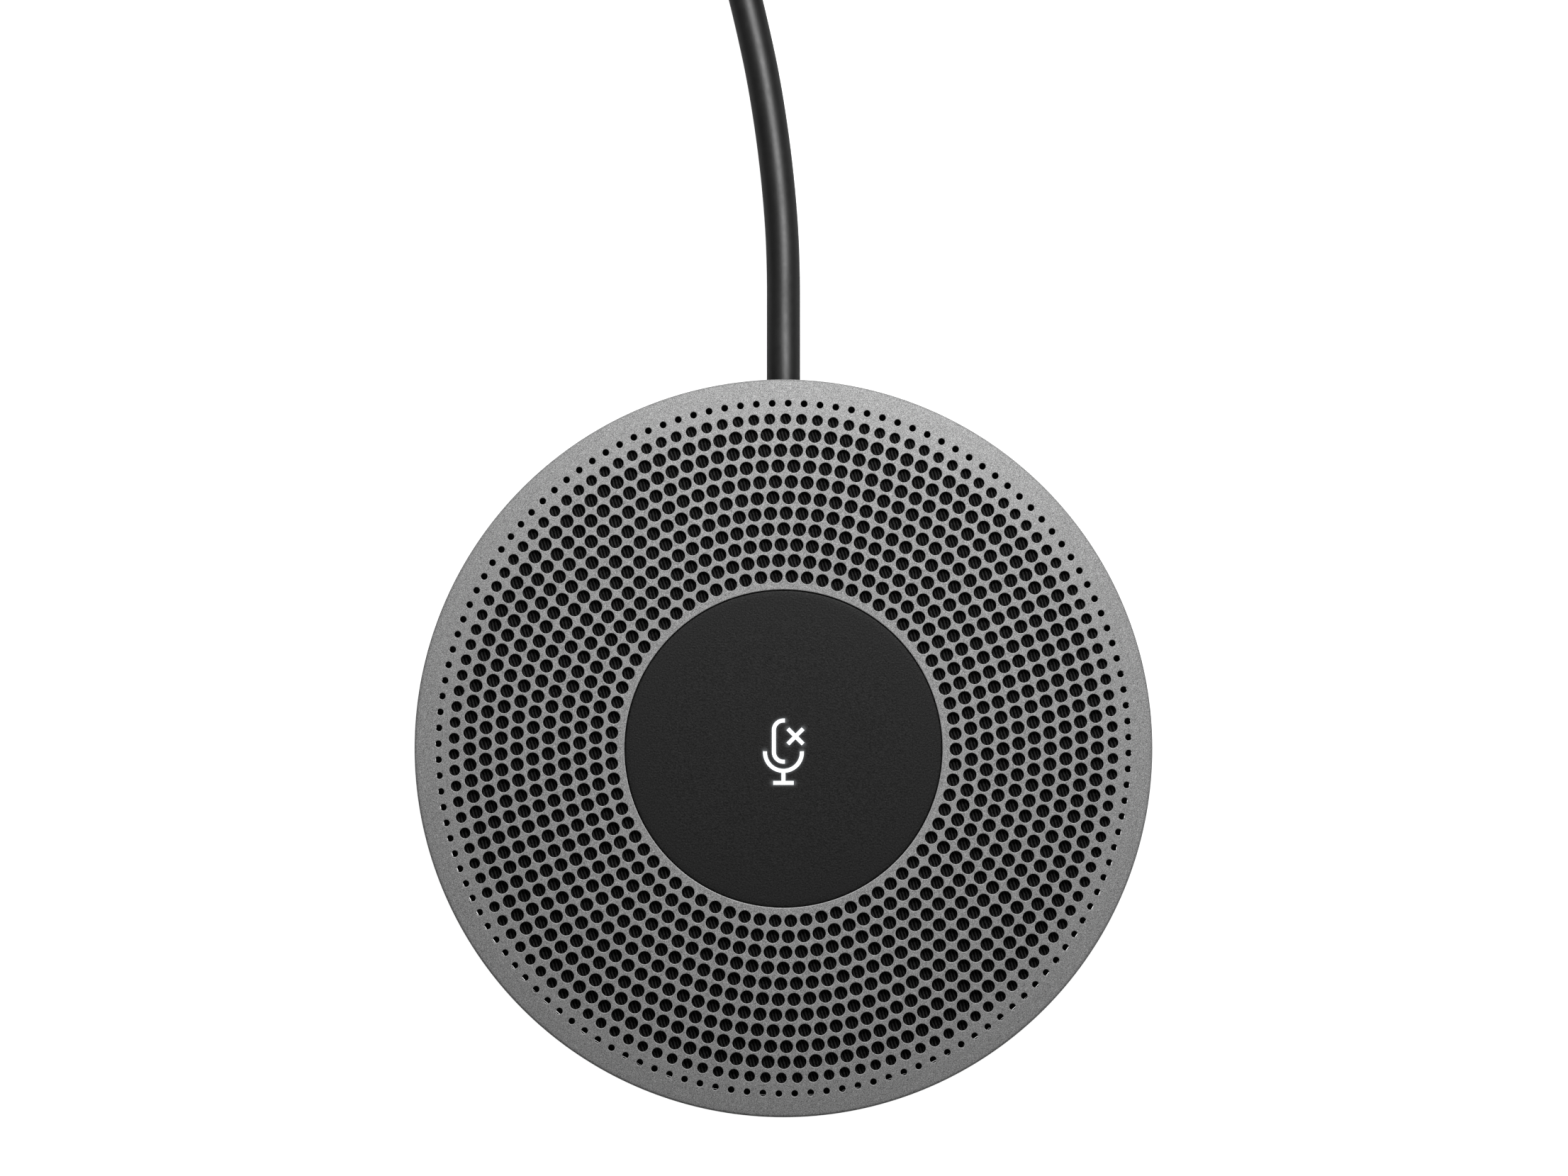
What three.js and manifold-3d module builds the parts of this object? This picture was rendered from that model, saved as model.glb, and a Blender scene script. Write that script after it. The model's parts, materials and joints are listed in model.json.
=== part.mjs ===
// A round conference speakerphone with a captive USB lead, as an assembly of separate pieces.
// Millimetres, +Z up. The origin is the middle of the round housing, on the surface that it stands on.
// The lead leaves along +Y.
import * as THREE from "three";
import { mergeVertices } from "three/addons/utils/BufferGeometryUtils.js";
import Module from "manifold-3d";

const wasm = await Module();
wasm.setup();

// ---------------------------------------------------------------- driving dimensions

const HOUSING_R = 41.5;
const HEIGHT = 21;
const KEY_HOLE_R = 17.87;
const KEY_R = 17.67;
const KEY_TRAVEL = 0.6;
const CORD_D = 3.8;
const GAP = 0.3; // left between two pieces where one is cut by, or rests in, the other
const FINE_GAP = 0.2; // left between two flat faces that rest on each other

// The top cover: a shallow dome that falls off faster towards its rim.
const CROWN_GENTLE = 0.9;
const CROWN_STEEP = 1.2;
const COVER_WALL = 0.6;
const CLOTH_GAP = 0.1; // between the cover and the cloth under it
const COVER_EDGE_R = 0.4; // rounding where the dome turns into the skirt
const KEY_HOLE_CHAMFER = 0.12;
const SKIRT_BOTTOM_Z = 7.2;
const SKIRT_BOTTOM_R = 40.9;
const SKIRT_INNER_R = 39.7;

// The base.
const BASE_BOTTOM_Z = 0.8;
const FLOOR_TOP_Z = 2.4;
const BASE_WALL_INNER_R = 37.6;
const BASE_WALL_OUTER_R = 38.8;
const SPIGOT_R = 39.4; // the upper wall, inside the cover's skirt
const SPIGOT_TOP_Z = 12;
const WELL_INNER_R = 18.4; // the ring wall under the loudspeaker
const WELL_OUTER_R = 19.9;
const WELL_TOP_Z = 9.5;
const FOOT = { inner: 30.8, outer: 34.4, top: 1.4 };
const FOOT_GROOVE = { inner: 30.5, outer: 34.7, top: 1.6 };

// Fixings: three long screws hold base and chassis together, three short ones hold the main board.
const BOSS_ANGLES = [60, 180, 300];
const BOSS_RING_R = 27;
const BOSS_R = 3.2;
const BOSS_SPLIT_Z = 6;
const POST_ANGLES = [30, 150, 270];
const POST_RING_R = 34.6;
const POST_R = 2.8;

// The main board, its thickness and what it clears.
const BOARD = { inner: 22.5, outer: 37.2, bottom: 7.5, top: 8.7 };

// The chassis under the cover, and the three microphones on it.
const CHASSIS_BOTTOM_Z = 12.3;
const PLATFORM_TOP_Z = 13.7;
const PLATFORM_R = 20.2;
const LEDGE_TOP_Z = 16;
const MIC_ANGLES = [0, 120, 240];
const MIC_RING_R = 30;

// The key board in the middle of the chassis.
const KEY_BOARD = { radius: 14, bottom: 13.9, top: 14.9 };
const SEATED_Z = KEY_BOARD.top + 0.15; // underside of what is soldered on the key board

// The lead.
const CORD_R = CORD_D / 2;
const CORD_EXIT_Z = 4.6;
const RELIEF_END_Y = 41.3;
const TURN_PITCH = 3.85;
const COIL = { x: 20.9, y: 121, meanR: 22.5, columns: 4, rows: 3, bottom: 0.75 };
const COIL_HALF_WIDTH = (COIL.columns * TURN_PITCH) / 2;
const COIL_TOP_Z = 12;

// How finely round things are divided.
const ROUND = { housing: 48, large: 32, medium: 20, small: 12, tiny: 8 };

// ---------------------------------------------------------------- shape helpers

const radians = THREE.MathUtils.degToRad;

function toSolid(geometry) {
  const bare = geometry.clone();
  bare.deleteAttribute("normal");
  bare.deleteAttribute("uv");
  const welded = mergeVertices(bare, 1e-4);
  const mesh = new wasm.Mesh({
    numProp: 3,
    vertProperties: welded.attributes.position.array,
    triVerts: new Uint32Array(welded.index.array),
  });
  return new wasm.Manifold(mesh);
}

function toGeometry(solid) {
  const mesh = solid.getMesh();
  const geometry = new THREE.BufferGeometry();
  geometry.setAttribute("position", new THREE.BufferAttribute(mesh.vertProperties, 3));
  geometry.setIndex(new THREE.BufferAttribute(mesh.triVerts, 1));
  geometry.computeVertexNormals();
  return geometry;
}

function join(geometry, ...others) {
  return toGeometry(others.reduce((solid, other) => solid.add(toSolid(other)), toSolid(geometry)));
}

function cut(geometry, ...tools) {
  return toGeometry(tools.reduce((solid, tool) => solid.subtract(toSolid(tool)), toSolid(geometry)));
}

// Turns an outline of [radius, z] points about the Z axis. The outline runs anticlockwise.
function turned(outline, segments) {
  const points = outline.map(([r, z]) => new THREE.Vector2(r, z));
  return new THREE.LatheGeometry(points, segments).rotateX(Math.PI / 2);
}

function ring(innerR, outerR, bottom, top, segments) {
  const outline = [
    [innerR, bottom],
    [outerR, bottom],
    [outerR, top],
    [innerR, top],
    [innerR, bottom],
  ];
  return turned(outline, segments);
}

function cylinder(radius, bottom, top, segments, x = 0, y = 0) {
  const height = top - bottom;
  return new THREE.CylinderGeometry(radius, radius, height, segments)
    .rotateX(Math.PI / 2)
    .translate(x, y, bottom + height / 2);
}

// A cylinder along Y.
function rod(radius, fromY, toY, segments, x, z) {
  const length = toY - fromY;
  return new THREE.CylinderGeometry(radius, radius, length, segments).translate(x, fromY + length / 2, z);
}

function box(x0, x1, y0, y1, z0, z1) {
  return new THREE.BoxGeometry(x1 - x0, y1 - y0, z1 - z0).translate(
    (x0 + x1) / 2,
    (y0 + y1) / 2,
    (z0 + z1) / 2,
  );
}

function prism(shape, bottom, top, curveSegments = 6) {
  const settings = { depth: top - bottom, bevelEnabled: false, curveSegments };
  return new THREE.ExtrudeGeometry(shape, settings).translate(0, 0, bottom);
}

function roundedRectangle(width, height, radius) {
  const x = width / 2;
  const y = height / 2;
  const shape = new THREE.Shape();
  shape.absarc(x - radius, y - radius, radius, 0, radians(90));
  shape.absarc(-x + radius, y - radius, radius, radians(90), radians(180));
  shape.absarc(-x + radius, -y + radius, radius, radians(180), radians(270));
  shape.absarc(x - radius, -y + radius, radius, radians(270), radians(360));
  return shape;
}

// A solid round tube along a smooth curve through the points.
function tube(points, radius, steps, sides = 8) {
  const section = new THREE.Shape();
  for (let i = 0; i < sides; i += 1) {
    const angle = (i / sides) * Math.PI * 2;
    const corner = [radius * Math.cos(angle), radius * Math.sin(angle)];
    if (i === 0) section.moveTo(...corner);
    else section.lineTo(...corner);
  }
  section.closePath();
  const extrudePath = new THREE.CatmullRomCurve3(
    points.map((p) => new THREE.Vector3(...p)),
    false,
    "centripetal",
  );
  return new THREE.ExtrudeGeometry(section, { steps, extrudePath, bevelEnabled: false });
}

// Points [r, z] on an arc in the outline's plane, both ends included.
function arcPoints(r, z, radius, fromDegrees, toDegrees, steps) {
  return Array.from({ length: steps + 1 }, (_, i) => {
    const angle = radians(fromDegrees + ((toDegrees - fromDegrees) * i) / steps);
    return [r + radius * Math.cos(angle), z + radius * Math.sin(angle)];
  });
}

function onRing(radius, degrees) {
  return [radius * Math.cos(radians(degrees)), radius * Math.sin(radians(degrees))];
}

// Height of the dome's outer surface above the table, at a distance from the axis.
function crown(r) {
  const share = r / HOUSING_R;
  const keyShare = KEY_HOLE_R / HOUSING_R;
  const drop = CROWN_GENTLE * share ** 2 + CROWN_STEEP * share ** 6;
  const keyDrop = CROWN_GENTLE * keyShare ** 2 + CROWN_STEEP * keyShare ** 6;
  return HEIGHT - drop + keyDrop;
}

// ---------------------------------------------------------------- housing

function topCover() {
  const rimR = HOUSING_R - COVER_EDGE_R;
  const domeR = [22, 27, 31, 34.5, 37.5, 39.6, rimR];
  const underR = [38.6, 35.5, 31, 25, KEY_HOLE_R];
  const outline = [
    [SKIRT_INNER_R, SKIRT_BOTTOM_Z],
    [SKIRT_BOTTOM_R - 0.3, SKIRT_BOTTOM_Z],
    [SKIRT_BOTTOM_R, SKIRT_BOTTOM_Z + 0.3],
    ...arcPoints(rimR, crown(rimR) - COVER_EDGE_R, COVER_EDGE_R, 0, 90, 3),
    ...domeR.slice(0, -1).reverse().map((r) => [r, crown(r)]),
    [KEY_HOLE_R + KEY_HOLE_CHAMFER, crown(KEY_HOLE_R)],
    [KEY_HOLE_R, crown(KEY_HOLE_R) - KEY_HOLE_CHAMFER],
    ...underR.reverse().map((r) => [r, crown(r) - COVER_WALL]),
    [SKIRT_INNER_R, crown(SKIRT_INNER_R) - COVER_WALL - 1.2],
    [SKIRT_INNER_R, SKIRT_BOTTOM_Z],
  ];
  return turned(outline, ROUND.housing);
}

function acousticCloth() {
  const clothTop = (r) => crown(r) - COVER_WALL - CLOTH_GAP;
  const thickness = 0.5;
  const across = [18.55, 25, 31, 35.5, 38.3];
  const outline = [
    ...across.map((r) => [r, clothTop(r) - thickness]),
    ...across.slice().reverse().map((r) => [r, clothTop(r)]),
    [across[0], clothTop(across[0]) - thickness],
  ];
  return turned(outline, ROUND.large);
}

function base() {
  const cornerR = 2.2;
  const cornerX = BASE_WALL_OUTER_R - cornerR - 0.4;
  const outline = [
    [0, BASE_BOTTOM_Z],
    [FOOT_GROOVE.inner, BASE_BOTTOM_Z],
    [FOOT_GROOVE.inner, FOOT_GROOVE.top],
    [FOOT_GROOVE.outer, FOOT_GROOVE.top],
    [FOOT_GROOVE.outer, BASE_BOTTOM_Z],
    ...arcPoints(cornerX, BASE_BOTTOM_Z + cornerR, cornerR, -90, 0, 4),
    [BASE_WALL_OUTER_R, SKIRT_BOTTOM_Z + 0.1],
    [SPIGOT_R, SKIRT_BOTTOM_Z + 0.4],
    [SPIGOT_R, SPIGOT_TOP_Z],
    [BASE_WALL_INNER_R, SPIGOT_TOP_Z],
    [BASE_WALL_INNER_R, FLOOR_TOP_Z],
    [WELL_OUTER_R, FLOOR_TOP_Z],
    [WELL_OUTER_R, WELL_TOP_Z],
    [WELL_INNER_R, WELL_TOP_Z],
    [WELL_INNER_R, FLOOR_TOP_Z],
    [0, FLOOR_TOP_Z],
  ];
  const inFloor = FLOOR_TOP_Z - 0.6; // added pieces are rooted this deep, inside the floor
  const posts = POST_ANGLES.map((angle) =>
    cylinder(POST_R, inFloor, BOARD.bottom - FINE_GAP, ROUND.small, ...onRing(POST_RING_R, angle)),
  );
  const bosses = BOSS_ANGLES.map((angle) =>
    cylinder(BOSS_R, inFloor, BOSS_SPLIT_Z, ROUND.small, ...onRing(BOSS_RING_R, angle)),
  );
  const pilots = POST_ANGLES.map((angle) =>
    cylinder(0.8, FLOOR_TOP_Z + 0.6, BOARD.bottom, ROUND.tiny, ...onRing(POST_RING_R, angle)),
  );
  const throughHoles = BOSS_ANGLES.map((angle) =>
    cylinder(1.45, 0, BOSS_SPLIT_Z + 1, ROUND.tiny, ...onRing(BOSS_RING_R, angle)),
  );
  const counterbores = BOSS_ANGLES.map((angle) =>
    cylinder(2.45, 0, SCREW_SEAT_Z, ROUND.small, ...onRing(BOSS_RING_R, angle)),
  );
  const cableBore = rod(CORD_R + 0.55, 36, 40, ROUND.small, 0, CORD_EXIT_Z);
  const leadSlot = box(-1.1, 1.1, WELL_INNER_R - 1, WELL_OUTER_R + 1, 6.8, WELL_TOP_Z + 1);
  return cut(
    join(turned(outline, ROUND.housing), ...posts, ...bosses),
    ...pilots,
    ...throughHoles,
    ...counterbores,
    cableBore,
    leadSlot,
  );
}

function footRing() {
  const edge = 0.25;
  const outline = [
    [FOOT.inner + edge, 0],
    [FOOT.outer - edge, 0],
    [FOOT.outer, edge],
    [FOOT.outer, FOOT.top],
    [FOOT.inner, FOOT.top],
    [FOOT.inner, edge],
    [FOOT.inner + edge, 0],
  ];
  return turned(outline, ROUND.housing);
}

function ballastRing() {
  const plate = ring(22, 31.3, FLOOR_TOP_Z + FINE_GAP, 5.2, ROUND.large);
  const cableSlot = box(-7.5, 7.5, 15, 35, 0, 8);
  const bossHoles = BOSS_ANGLES.map((angle) =>
    cylinder(BOSS_R + 0.5, 0, 8, ROUND.small, ...onRing(BOSS_RING_R, angle)),
  );
  return cut(plate, cableSlot, ...bossHoles);
}

// ---------------------------------------------------------------- screws

const SCREW_SEAT_Z = 3.4; // where the heads of the long screws bear on the base

// A cross recess, cut into the head's outer face at z = 0 and running up.
function crossRecess(span, width, depth) {
  const half = span / 2;
  return [
    box(-half, half, -width / 2, width / 2, -1, depth),
    box(-width / 2, width / 2, -half, half, -1, depth),
  ];
}

// A pan head screw with its head's outer face at z = 0 and its shank pointing up.
function screw(headR, headHeight, shankR, length) {
  const outline = [
    [0, 0],
    [headR - 0.3, 0],
    [headR, 0.3],
    [headR, headHeight],
    [shankR, headHeight],
    [shankR, headHeight + length - shankR],
    [0, headHeight + length],
  ];
  return cut(turned(outline, ROUND.tiny), ...crossRecess(headR * 1.2, 0.45, 0.6));
}

// ---------------------------------------------------------------- loudspeaker

function driverFrame() {
  const outline = [
    [9.9, 5.6],
    [11.6, 5.6],
    [17.9, 9.7],
    [20, 9.7],
    [20, 10.5],
    [17.2, 10.5],
    [17.2, 10],
    [11.2, 6.4],
    [9.9, 6.4],
    [9.9, 5.6],
  ];
  return turned(outline, ROUND.large);
}

function driverYoke() {
  const outline = [
    [0, 3],
    [9.7, 3],
    [9.7, 6.9],
    [8.7, 6.9],
    [8.7, 3.9],
    [0, 3.9],
  ];
  return turned(outline, ROUND.medium);
}

function driverCone() {
  const outline = [
    [0, 9.4],
    [4, 9.15],
    [7.8, 8.4],
    [15.2, 9.9],
    [15.2, 10.3],
    [7.8, 8.85],
    [4, 9.6],
    [0, 9.85],
  ];
  return turned(outline, ROUND.large);
}

function driverSurround() {
  const roll = { r: 16.25, z: 9.95, outer: 0.85, inner: 0.55 };
  const outline = [
    ...arcPoints(roll.r, roll.z, roll.outer, 0, 180, 4),
    ...arcPoints(roll.r, roll.z, roll.inner, 180, 0, 4),
    [roll.r + roll.outer, roll.z],
  ];
  return turned(outline, ROUND.large);
}

// ---------------------------------------------------------------- main board

function mainBoard() {
  const screwHoles = POST_ANGLES.map((angle) =>
    cylinder(1.2, 0, 20, ROUND.tiny, ...onRing(POST_RING_R, angle)),
  );
  const bossHoles = BOSS_ANGLES.map((angle) =>
    cylinder(BOSS_R + 0.3, 0, 20, ROUND.small, ...onRing(BOSS_RING_R, angle)),
  );
  return cut(ring(BOARD.inner, BOARD.outer, BOARD.bottom, BOARD.top, ROUND.large), ...screwHoles, ...bossHoles);
}

// A flat chip package with a dimple that marks its first pin. It rests at z = 0.
function chip(size, height) {
  const half = size / 2;
  const dimple = cylinder(0.45, height - 0.15, height + 1, ROUND.tiny, -half + 1, half - 1);
  return cut(box(-half, half, -half, half, 0, height), dimple);
}

function capacitor() {
  const outline = [
    [0, 0],
    [2.5, 0],
    [2.5, 0.6],
    [2.3, 0.8],
    [2.5, 1],
    [2.5, 2.5],
    [2.3, 2.7],
    [0, 2.7],
  ];
  return turned(outline, ROUND.small);
}

function inductor() {
  const half = 3;
  const can = box(-half, half, -half, half, 0, 2.6);
  return join(can, cylinder(2.2, 2.4, 2.9, ROUND.small));
}

// A connector housing that opens upwards, with a key slot in its front.
function header(width, depth, height) {
  const x = width / 2;
  const y = depth / 2;
  const wall = 0.6;
  const inside = box(-x + wall, x - wall, -y + wall, y - wall, 0.8, height + 1);
  const keySlot = box(-0.7, 0.7, -y - 1, -y + wall + 0.2, height - 1.2, height + 1);
  return cut(box(-x, x, -y, y, 0, height), inside, keySlot);
}

// ---------------------------------------------------------------- chassis and microphones

function chassisArm(angle, width) {
  const half = width / 2;
  return box(PLATFORM_R - 0.7, 37.2, -half, half, CHASSIS_BOTTOM_Z, PLATFORM_TOP_Z).rotateZ(radians(angle));
}

function innerChassis() {
  const hub = [
    [0, CHASSIS_BOTTOM_Z],
    [PLATFORM_R, CHASSIS_BOTTOM_Z],
    [PLATFORM_R, 18.6],
    [18.7, 18.6],
    [18.7, LEDGE_TOP_Z],
    [16.6, LEDGE_TOP_Z],
    [16.6, PLATFORM_TOP_Z],
    [0, PLATFORM_TOP_Z],
  ];
  const outerRing = ring(36.6, 39.2, CHASSIS_BOTTOM_Z, 17.2, ROUND.housing);
  const arms = [
    ...MIC_ANGLES.map((angle) => chassisArm(angle, 9)),
    ...BOSS_ANGLES.map((angle) => chassisArm(angle, 7.4)),
  ];
  const pockets = MIC_ANGLES.map((angle) =>
    cylinder(6.2, CHASSIS_BOTTOM_Z, 17, ROUND.medium, ...onRing(MIC_RING_R, angle)),
  );
  const bosses = BOSS_ANGLES.map((angle) =>
    cylinder(3, BOSS_SPLIT_Z + GAP, PLATFORM_TOP_Z - 0.4, ROUND.small, ...onRing(BOSS_RING_R, angle)),
  );
  const pocketBores = MIC_ANGLES.map((angle) =>
    cylinder(5, PLATFORM_TOP_Z - 0.1, 20, ROUND.medium, ...onRing(MIC_RING_R, angle)),
  );
  const leadHoles = MIC_ANGLES.map((angle) =>
    cylinder(0.95, 10, 20, ROUND.tiny, ...onRing(MIC_RING_R, angle)),
  );
  const screwBores = BOSS_ANGLES.map((angle) =>
    cylinder(1.4, 5, 12.2, ROUND.tiny, ...onRing(BOSS_RING_R, angle)),
  );
  const flexWindow = box(-2.8, 2.8, -16.1, -14.6, 10, 15);
  return cut(
    join(turned(hub, ROUND.large), outerRing, ...arms, ...pockets, ...bosses),
    ...pocketBores,
    ...leadHoles,
    ...screwBores,
    flexWindow,
  );
}

function micBoot() {
  const outline = [
    [0.8, 14],
    [4.7, 14],
    [4.7, 17.4],
    [3.25, 17.4],
    [3.25, 15],
    [0.8, 15],
    [0.8, 14],
  ];
  return turned(outline, ROUND.small);
}

function micCapsule() {
  const outline = [
    [0, 15.2],
    [3, 15.2],
    [3, 17],
    [2.8, 17.2],
    [0.5, 17.2],
    [0.5, 16.6],
    [0, 16.6],
  ];
  return turned(outline, ROUND.small);
}

function micLead() {
  const route = [
    [0, 0, 14.9],
    [0, 0, 13],
    [0.2, 0, 11.6],
    [1.1, 0, 10.3],
    [1.5, 0, 9.1],
  ];
  return tube(route, 0.5, 6);
}

// ---------------------------------------------------------------- key board

function keyBoard() {
  const disc = cylinder(KEY_BOARD.radius, KEY_BOARD.bottom, KEY_BOARD.top, ROUND.medium);
  const notches = [90, 210, 330].map((angle) =>
    cylinder(1.2, 0, 20, ROUND.tiny, ...onRing(KEY_BOARD.radius, angle)),
  );
  return cut(disc, ...notches);
}

function switchBody() {
  const half = 3.1;
  const body = box(-half, half, -half, half, SEATED_Z, 17.05);
  return cut(body, cylinder(1.8, 15.35, 18, ROUND.small));
}

function switchPlunger() {
  const outline = [
    [0, 16.1],
    [1.6, 16.1],
    [1.6, 17.35],
    [1.4, 17.55],
    [0, 17.55],
  ];
  return turned(outline, ROUND.small);
}

function led() {
  const package_ = box(-1.6, 1.6, -1.4, 1.4, 0, 1.4);
  return cut(package_, cylinder(1.1, 1.1, 2, ROUND.small));
}

// The flat cable from the key board, down through the platform and out to the main board.
function boardFlex() {
  const half = 0.15;
  const route = [
    [-11.4, 15.3],
    [-14.9, 15.3],
    [-15.55, 14.7],
    [-15.55, 12.4],
    [-16.2, 11.75],
    [-21.4, 11.75],
    [-23.4, 10.6],
    [-24.6, 9.3],
    [-27.2, 9.15],
  ].map(([y, z]) => new THREE.Vector2(y, z));
  const side = (sign) =>
    route.map((point, i) => {
      const before = route[Math.max(i - 1, 0)];
      const after = route[Math.min(i + 1, route.length - 1)];
      const along = after.clone().sub(before).normalize();
      return new THREE.Vector2(point.x - sign * half * along.y, point.y + sign * half * along.x);
    });
  const shape = new THREE.Shape([...side(1), ...side(-1).reverse()]);
  const width = 5;
  // The outline's plane (y, z) is turned upright: shape x runs along Y, shape y along Z.
  const turn = new THREE.Matrix4().makeBasis(
    new THREE.Vector3(0, 1, 0),
    new THREE.Vector3(0, 0, 1),
    new THREE.Vector3(1, 0, 0),
  );
  return prism(shape, -width / 2, width / 2).applyMatrix4(turn);
}

// ---------------------------------------------------------------- mute key

// The lit sign: half a microphone, its cradle and stand, and a cross. Solid strokes between two heights.
const SIGN = {
  capsule: { x: 1.075, top: 3.17, bottom: -1.45, openX: 0.16 },
  cradle: { y: -0.41, radius: 2.09, overrun: 3.3 },
  foot: { y: -3.88, halfWidth: 1.17 },
  cross: { x: 1.43, y: 1.35, arm: 0.83 },
};

function bandShape(outward, inward) {
  return new THREE.Shape([...outward, ...inward.reverse()].map(([x, y]) => new THREE.Vector2(x, y)));
}

function signStrokes(half, bottom, top) {
  const { capsule, cradle, foot, cross } = SIGN;
  const capsuleSide = (radius) => {
    const upper = arcPoints(0, capsule.top - capsule.x, radius, 90, 180, 5);
    const lower = arcPoints(0, capsule.bottom + capsule.x, radius, 180, 270, 5);
    const [firstX, firstY] = [capsule.openX, upper[0][1]];
    return [[firstX, firstY], ...upper, ...lower, [capsule.openX, lower[lower.length - 1][1]]];
  };
  const cradleSide = (radius) =>
    arcPoints(0, cradle.y, radius, 180 - cradle.overrun, 360 + cradle.overrun, 12);
  const capsulePart = prism(
    bandShape(capsuleSide(capsule.x + half), capsuleSide(capsule.x - half)),
    bottom,
    top,
  );
  const cradlePart = prism(
    bandShape(cradleSide(cradle.radius + half), cradleSide(cradle.radius - half)),
    bottom,
    top,
  );
  const stem = box(-half, half, foot.y, cradle.y - cradle.radius, bottom, top);
  const bar = box(-foot.halfWidth, foot.halfWidth, foot.y - half, foot.y + half, bottom, top);
  const armLength = cross.arm * Math.SQRT2;
  const arms = [45, -45].map((angle) =>
    box(-armLength, armLength, -half, half, bottom, top)
      .rotateZ(radians(angle))
      .translate(cross.x, cross.y, 0),
  );
  return { capsule: capsulePart, stand: join(cradlePart, stem, bar), cross: join(...arms) };
}

function muteKey() {
  const topZ = 20.95;
  const outline = [
    [0, 19.2],
    [16.4, 19.2],
    [16.4, 18.5],
    [18.3, 18.5],
    [18.3, 20],
    [KEY_R, 20],
    [KEY_R, topZ - 0.45],
    [KEY_R - 0.1, topZ - 0.3],
    [KEY_R - 0.3, topZ - 0.22],
    [13, topZ - 0.1],
    [7, topZ - 0.02],
    [0, topZ],
  ];
  const legends = signStrokes(0.25, 18, 22);
  return cut(turned(outline, ROUND.housing), legends.capsule, legends.stand, legends.cross);
}

function keyLightGuide() {
  const plate = cylinder(12, 18, 19, ROUND.medium);
  const post = cylinder(1.8, 17.55 + FINE_GAP, 18.5, ROUND.small);
  const pegs = signStrokes(0.2, 18.5, 20.88);
  return join(plate, post, pegs.capsule, pegs.stand, pegs.cross);
}

// ---------------------------------------------------------------- lead and plug

function strainRelief() {
  const boot = new THREE.CylinderGeometry(CORD_R + 0.15, CORD_R + 0.4, 3.2, ROUND.small)
    .translate(0, RELIEF_END_Y - 1.6, CORD_EXIT_Z);
  const neck = rod(CORD_R + 0.3, 36, RELIEF_END_Y - 2, ROUND.small, 0, CORD_EXIT_Z);
  const flange = box(-4, 4, 35.4, 37, FLOOR_TOP_Z + FINE_GAP, 7.1);
  return join(boot, neck, flange);
}

function cableClamp() {
  const block = box(-6.5, 6.5, 30.6, 33.4, FLOOR_TOP_Z + FINE_GAP, 7);
  const bore = rod(CORD_R + FINE_GAP, 30, 34, ROUND.small, 0, CORD_EXIT_Z);
  const mouth = box(-CORD_R - FINE_GAP, CORD_R + FINE_GAP, 30, 34, 0, CORD_EXIT_Z);
  return cut(block, bore, mouth);
}

function cableRun() {
  const route = [
    [0, RELIEF_END_Y + GAP, CORD_EXIT_Z],
    [0, 45.5, 4.5],
    [0, 49.5, 3.75],
    [-0.02, 54, 2.6],
    [-0.2, 59, 2],
    [-0.7, 65, 1.92],
    [-1.45, 71, 1.92],
    [-2.45, 77, 1.92],
    [-3.75, 83, 1.92],
    [-5.2, 89, 1.95],
    [-6.4, 95, 2.1],
    [-7.1, 100.5, 2.3],
    [-7.35, 104.6, 2.4],
  ];
  return tube(route, CORD_R, 14);
}

function cableCoil() {
  const inner = COIL.meanR - COIL_HALF_WIDTH;
  const outer = COIL.meanR + COIL_HALF_WIDTH;
  const corner = 1.4;
  const outline = [
    [inner + corner, COIL.bottom],
    [outer - corner, COIL.bottom],
    [outer, COIL.bottom + corner],
    [outer, COIL_TOP_Z - corner],
    [outer - corner, COIL_TOP_Z],
    [inner + corner, COIL_TOP_Z],
    [inner, COIL_TOP_Z - corner],
    [inner, COIL.bottom + corner],
    [inner + corner, COIL.bottom],
  ];
  return turned(outline, ROUND.large);
}

// The last part turn lies on top of the coil, clockwise, and bends away to the plug.
// Places are from the coil's middle, and headings are turned from +X.
const TOP_TURN = { radius: 21.5, z: COIL_TOP_Z + GAP + CORD_R, from: 58, to: -130, bendR: 14 };
const PLUG_HEADING = 90;
const PLUG_HALF_HEIGHT = 4;
const PLUG_Z = COIL_TOP_Z + GAP + PLUG_HALF_HEIGHT;

// A point beside the plug's axis: so far along it from the start, and so far to its right.
function besidePlug([x, y], along, right) {
  const [ux, uy] = onRing(1, PLUG_HEADING);
  return [x + along * ux + right * uy, y + along * uy - right * ux];
}

// Where the top turn's bend ends: the lead then runs straight into the plug.
function plugStart() {
  const [x, y] = onRing(TOP_TURN.radius, TOP_TURN.to);
  const [hx, hy] = onRing(1, TOP_TURN.to - 90);
  const middle = [x + TOP_TURN.bendR * hy, y - TOP_TURN.bendR * hx];
  return besidePlug(middle, 0, -TOP_TURN.bendR);
}

function cableEnd() {
  const turn = Array.from({ length: 10 }, (_, i) => {
    const angle = TOP_TURN.from + ((TOP_TURN.to - TOP_TURN.from) * i) / 9;
    return [...onRing(TOP_TURN.radius, angle), TOP_TURN.z];
  });
  const start = plugStart();
  const bend = [
    [...besidePlug(start, -6, 1.3), PLUG_Z - 0.7],
    [...besidePlug(start, -3.2, 0.3), PLUG_Z - 0.12],
    [...besidePlug(start, -2 * GAP, 0), PLUG_Z],
  ];
  return tube([...turn, ...bend], CORD_R, 22);
}

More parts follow.
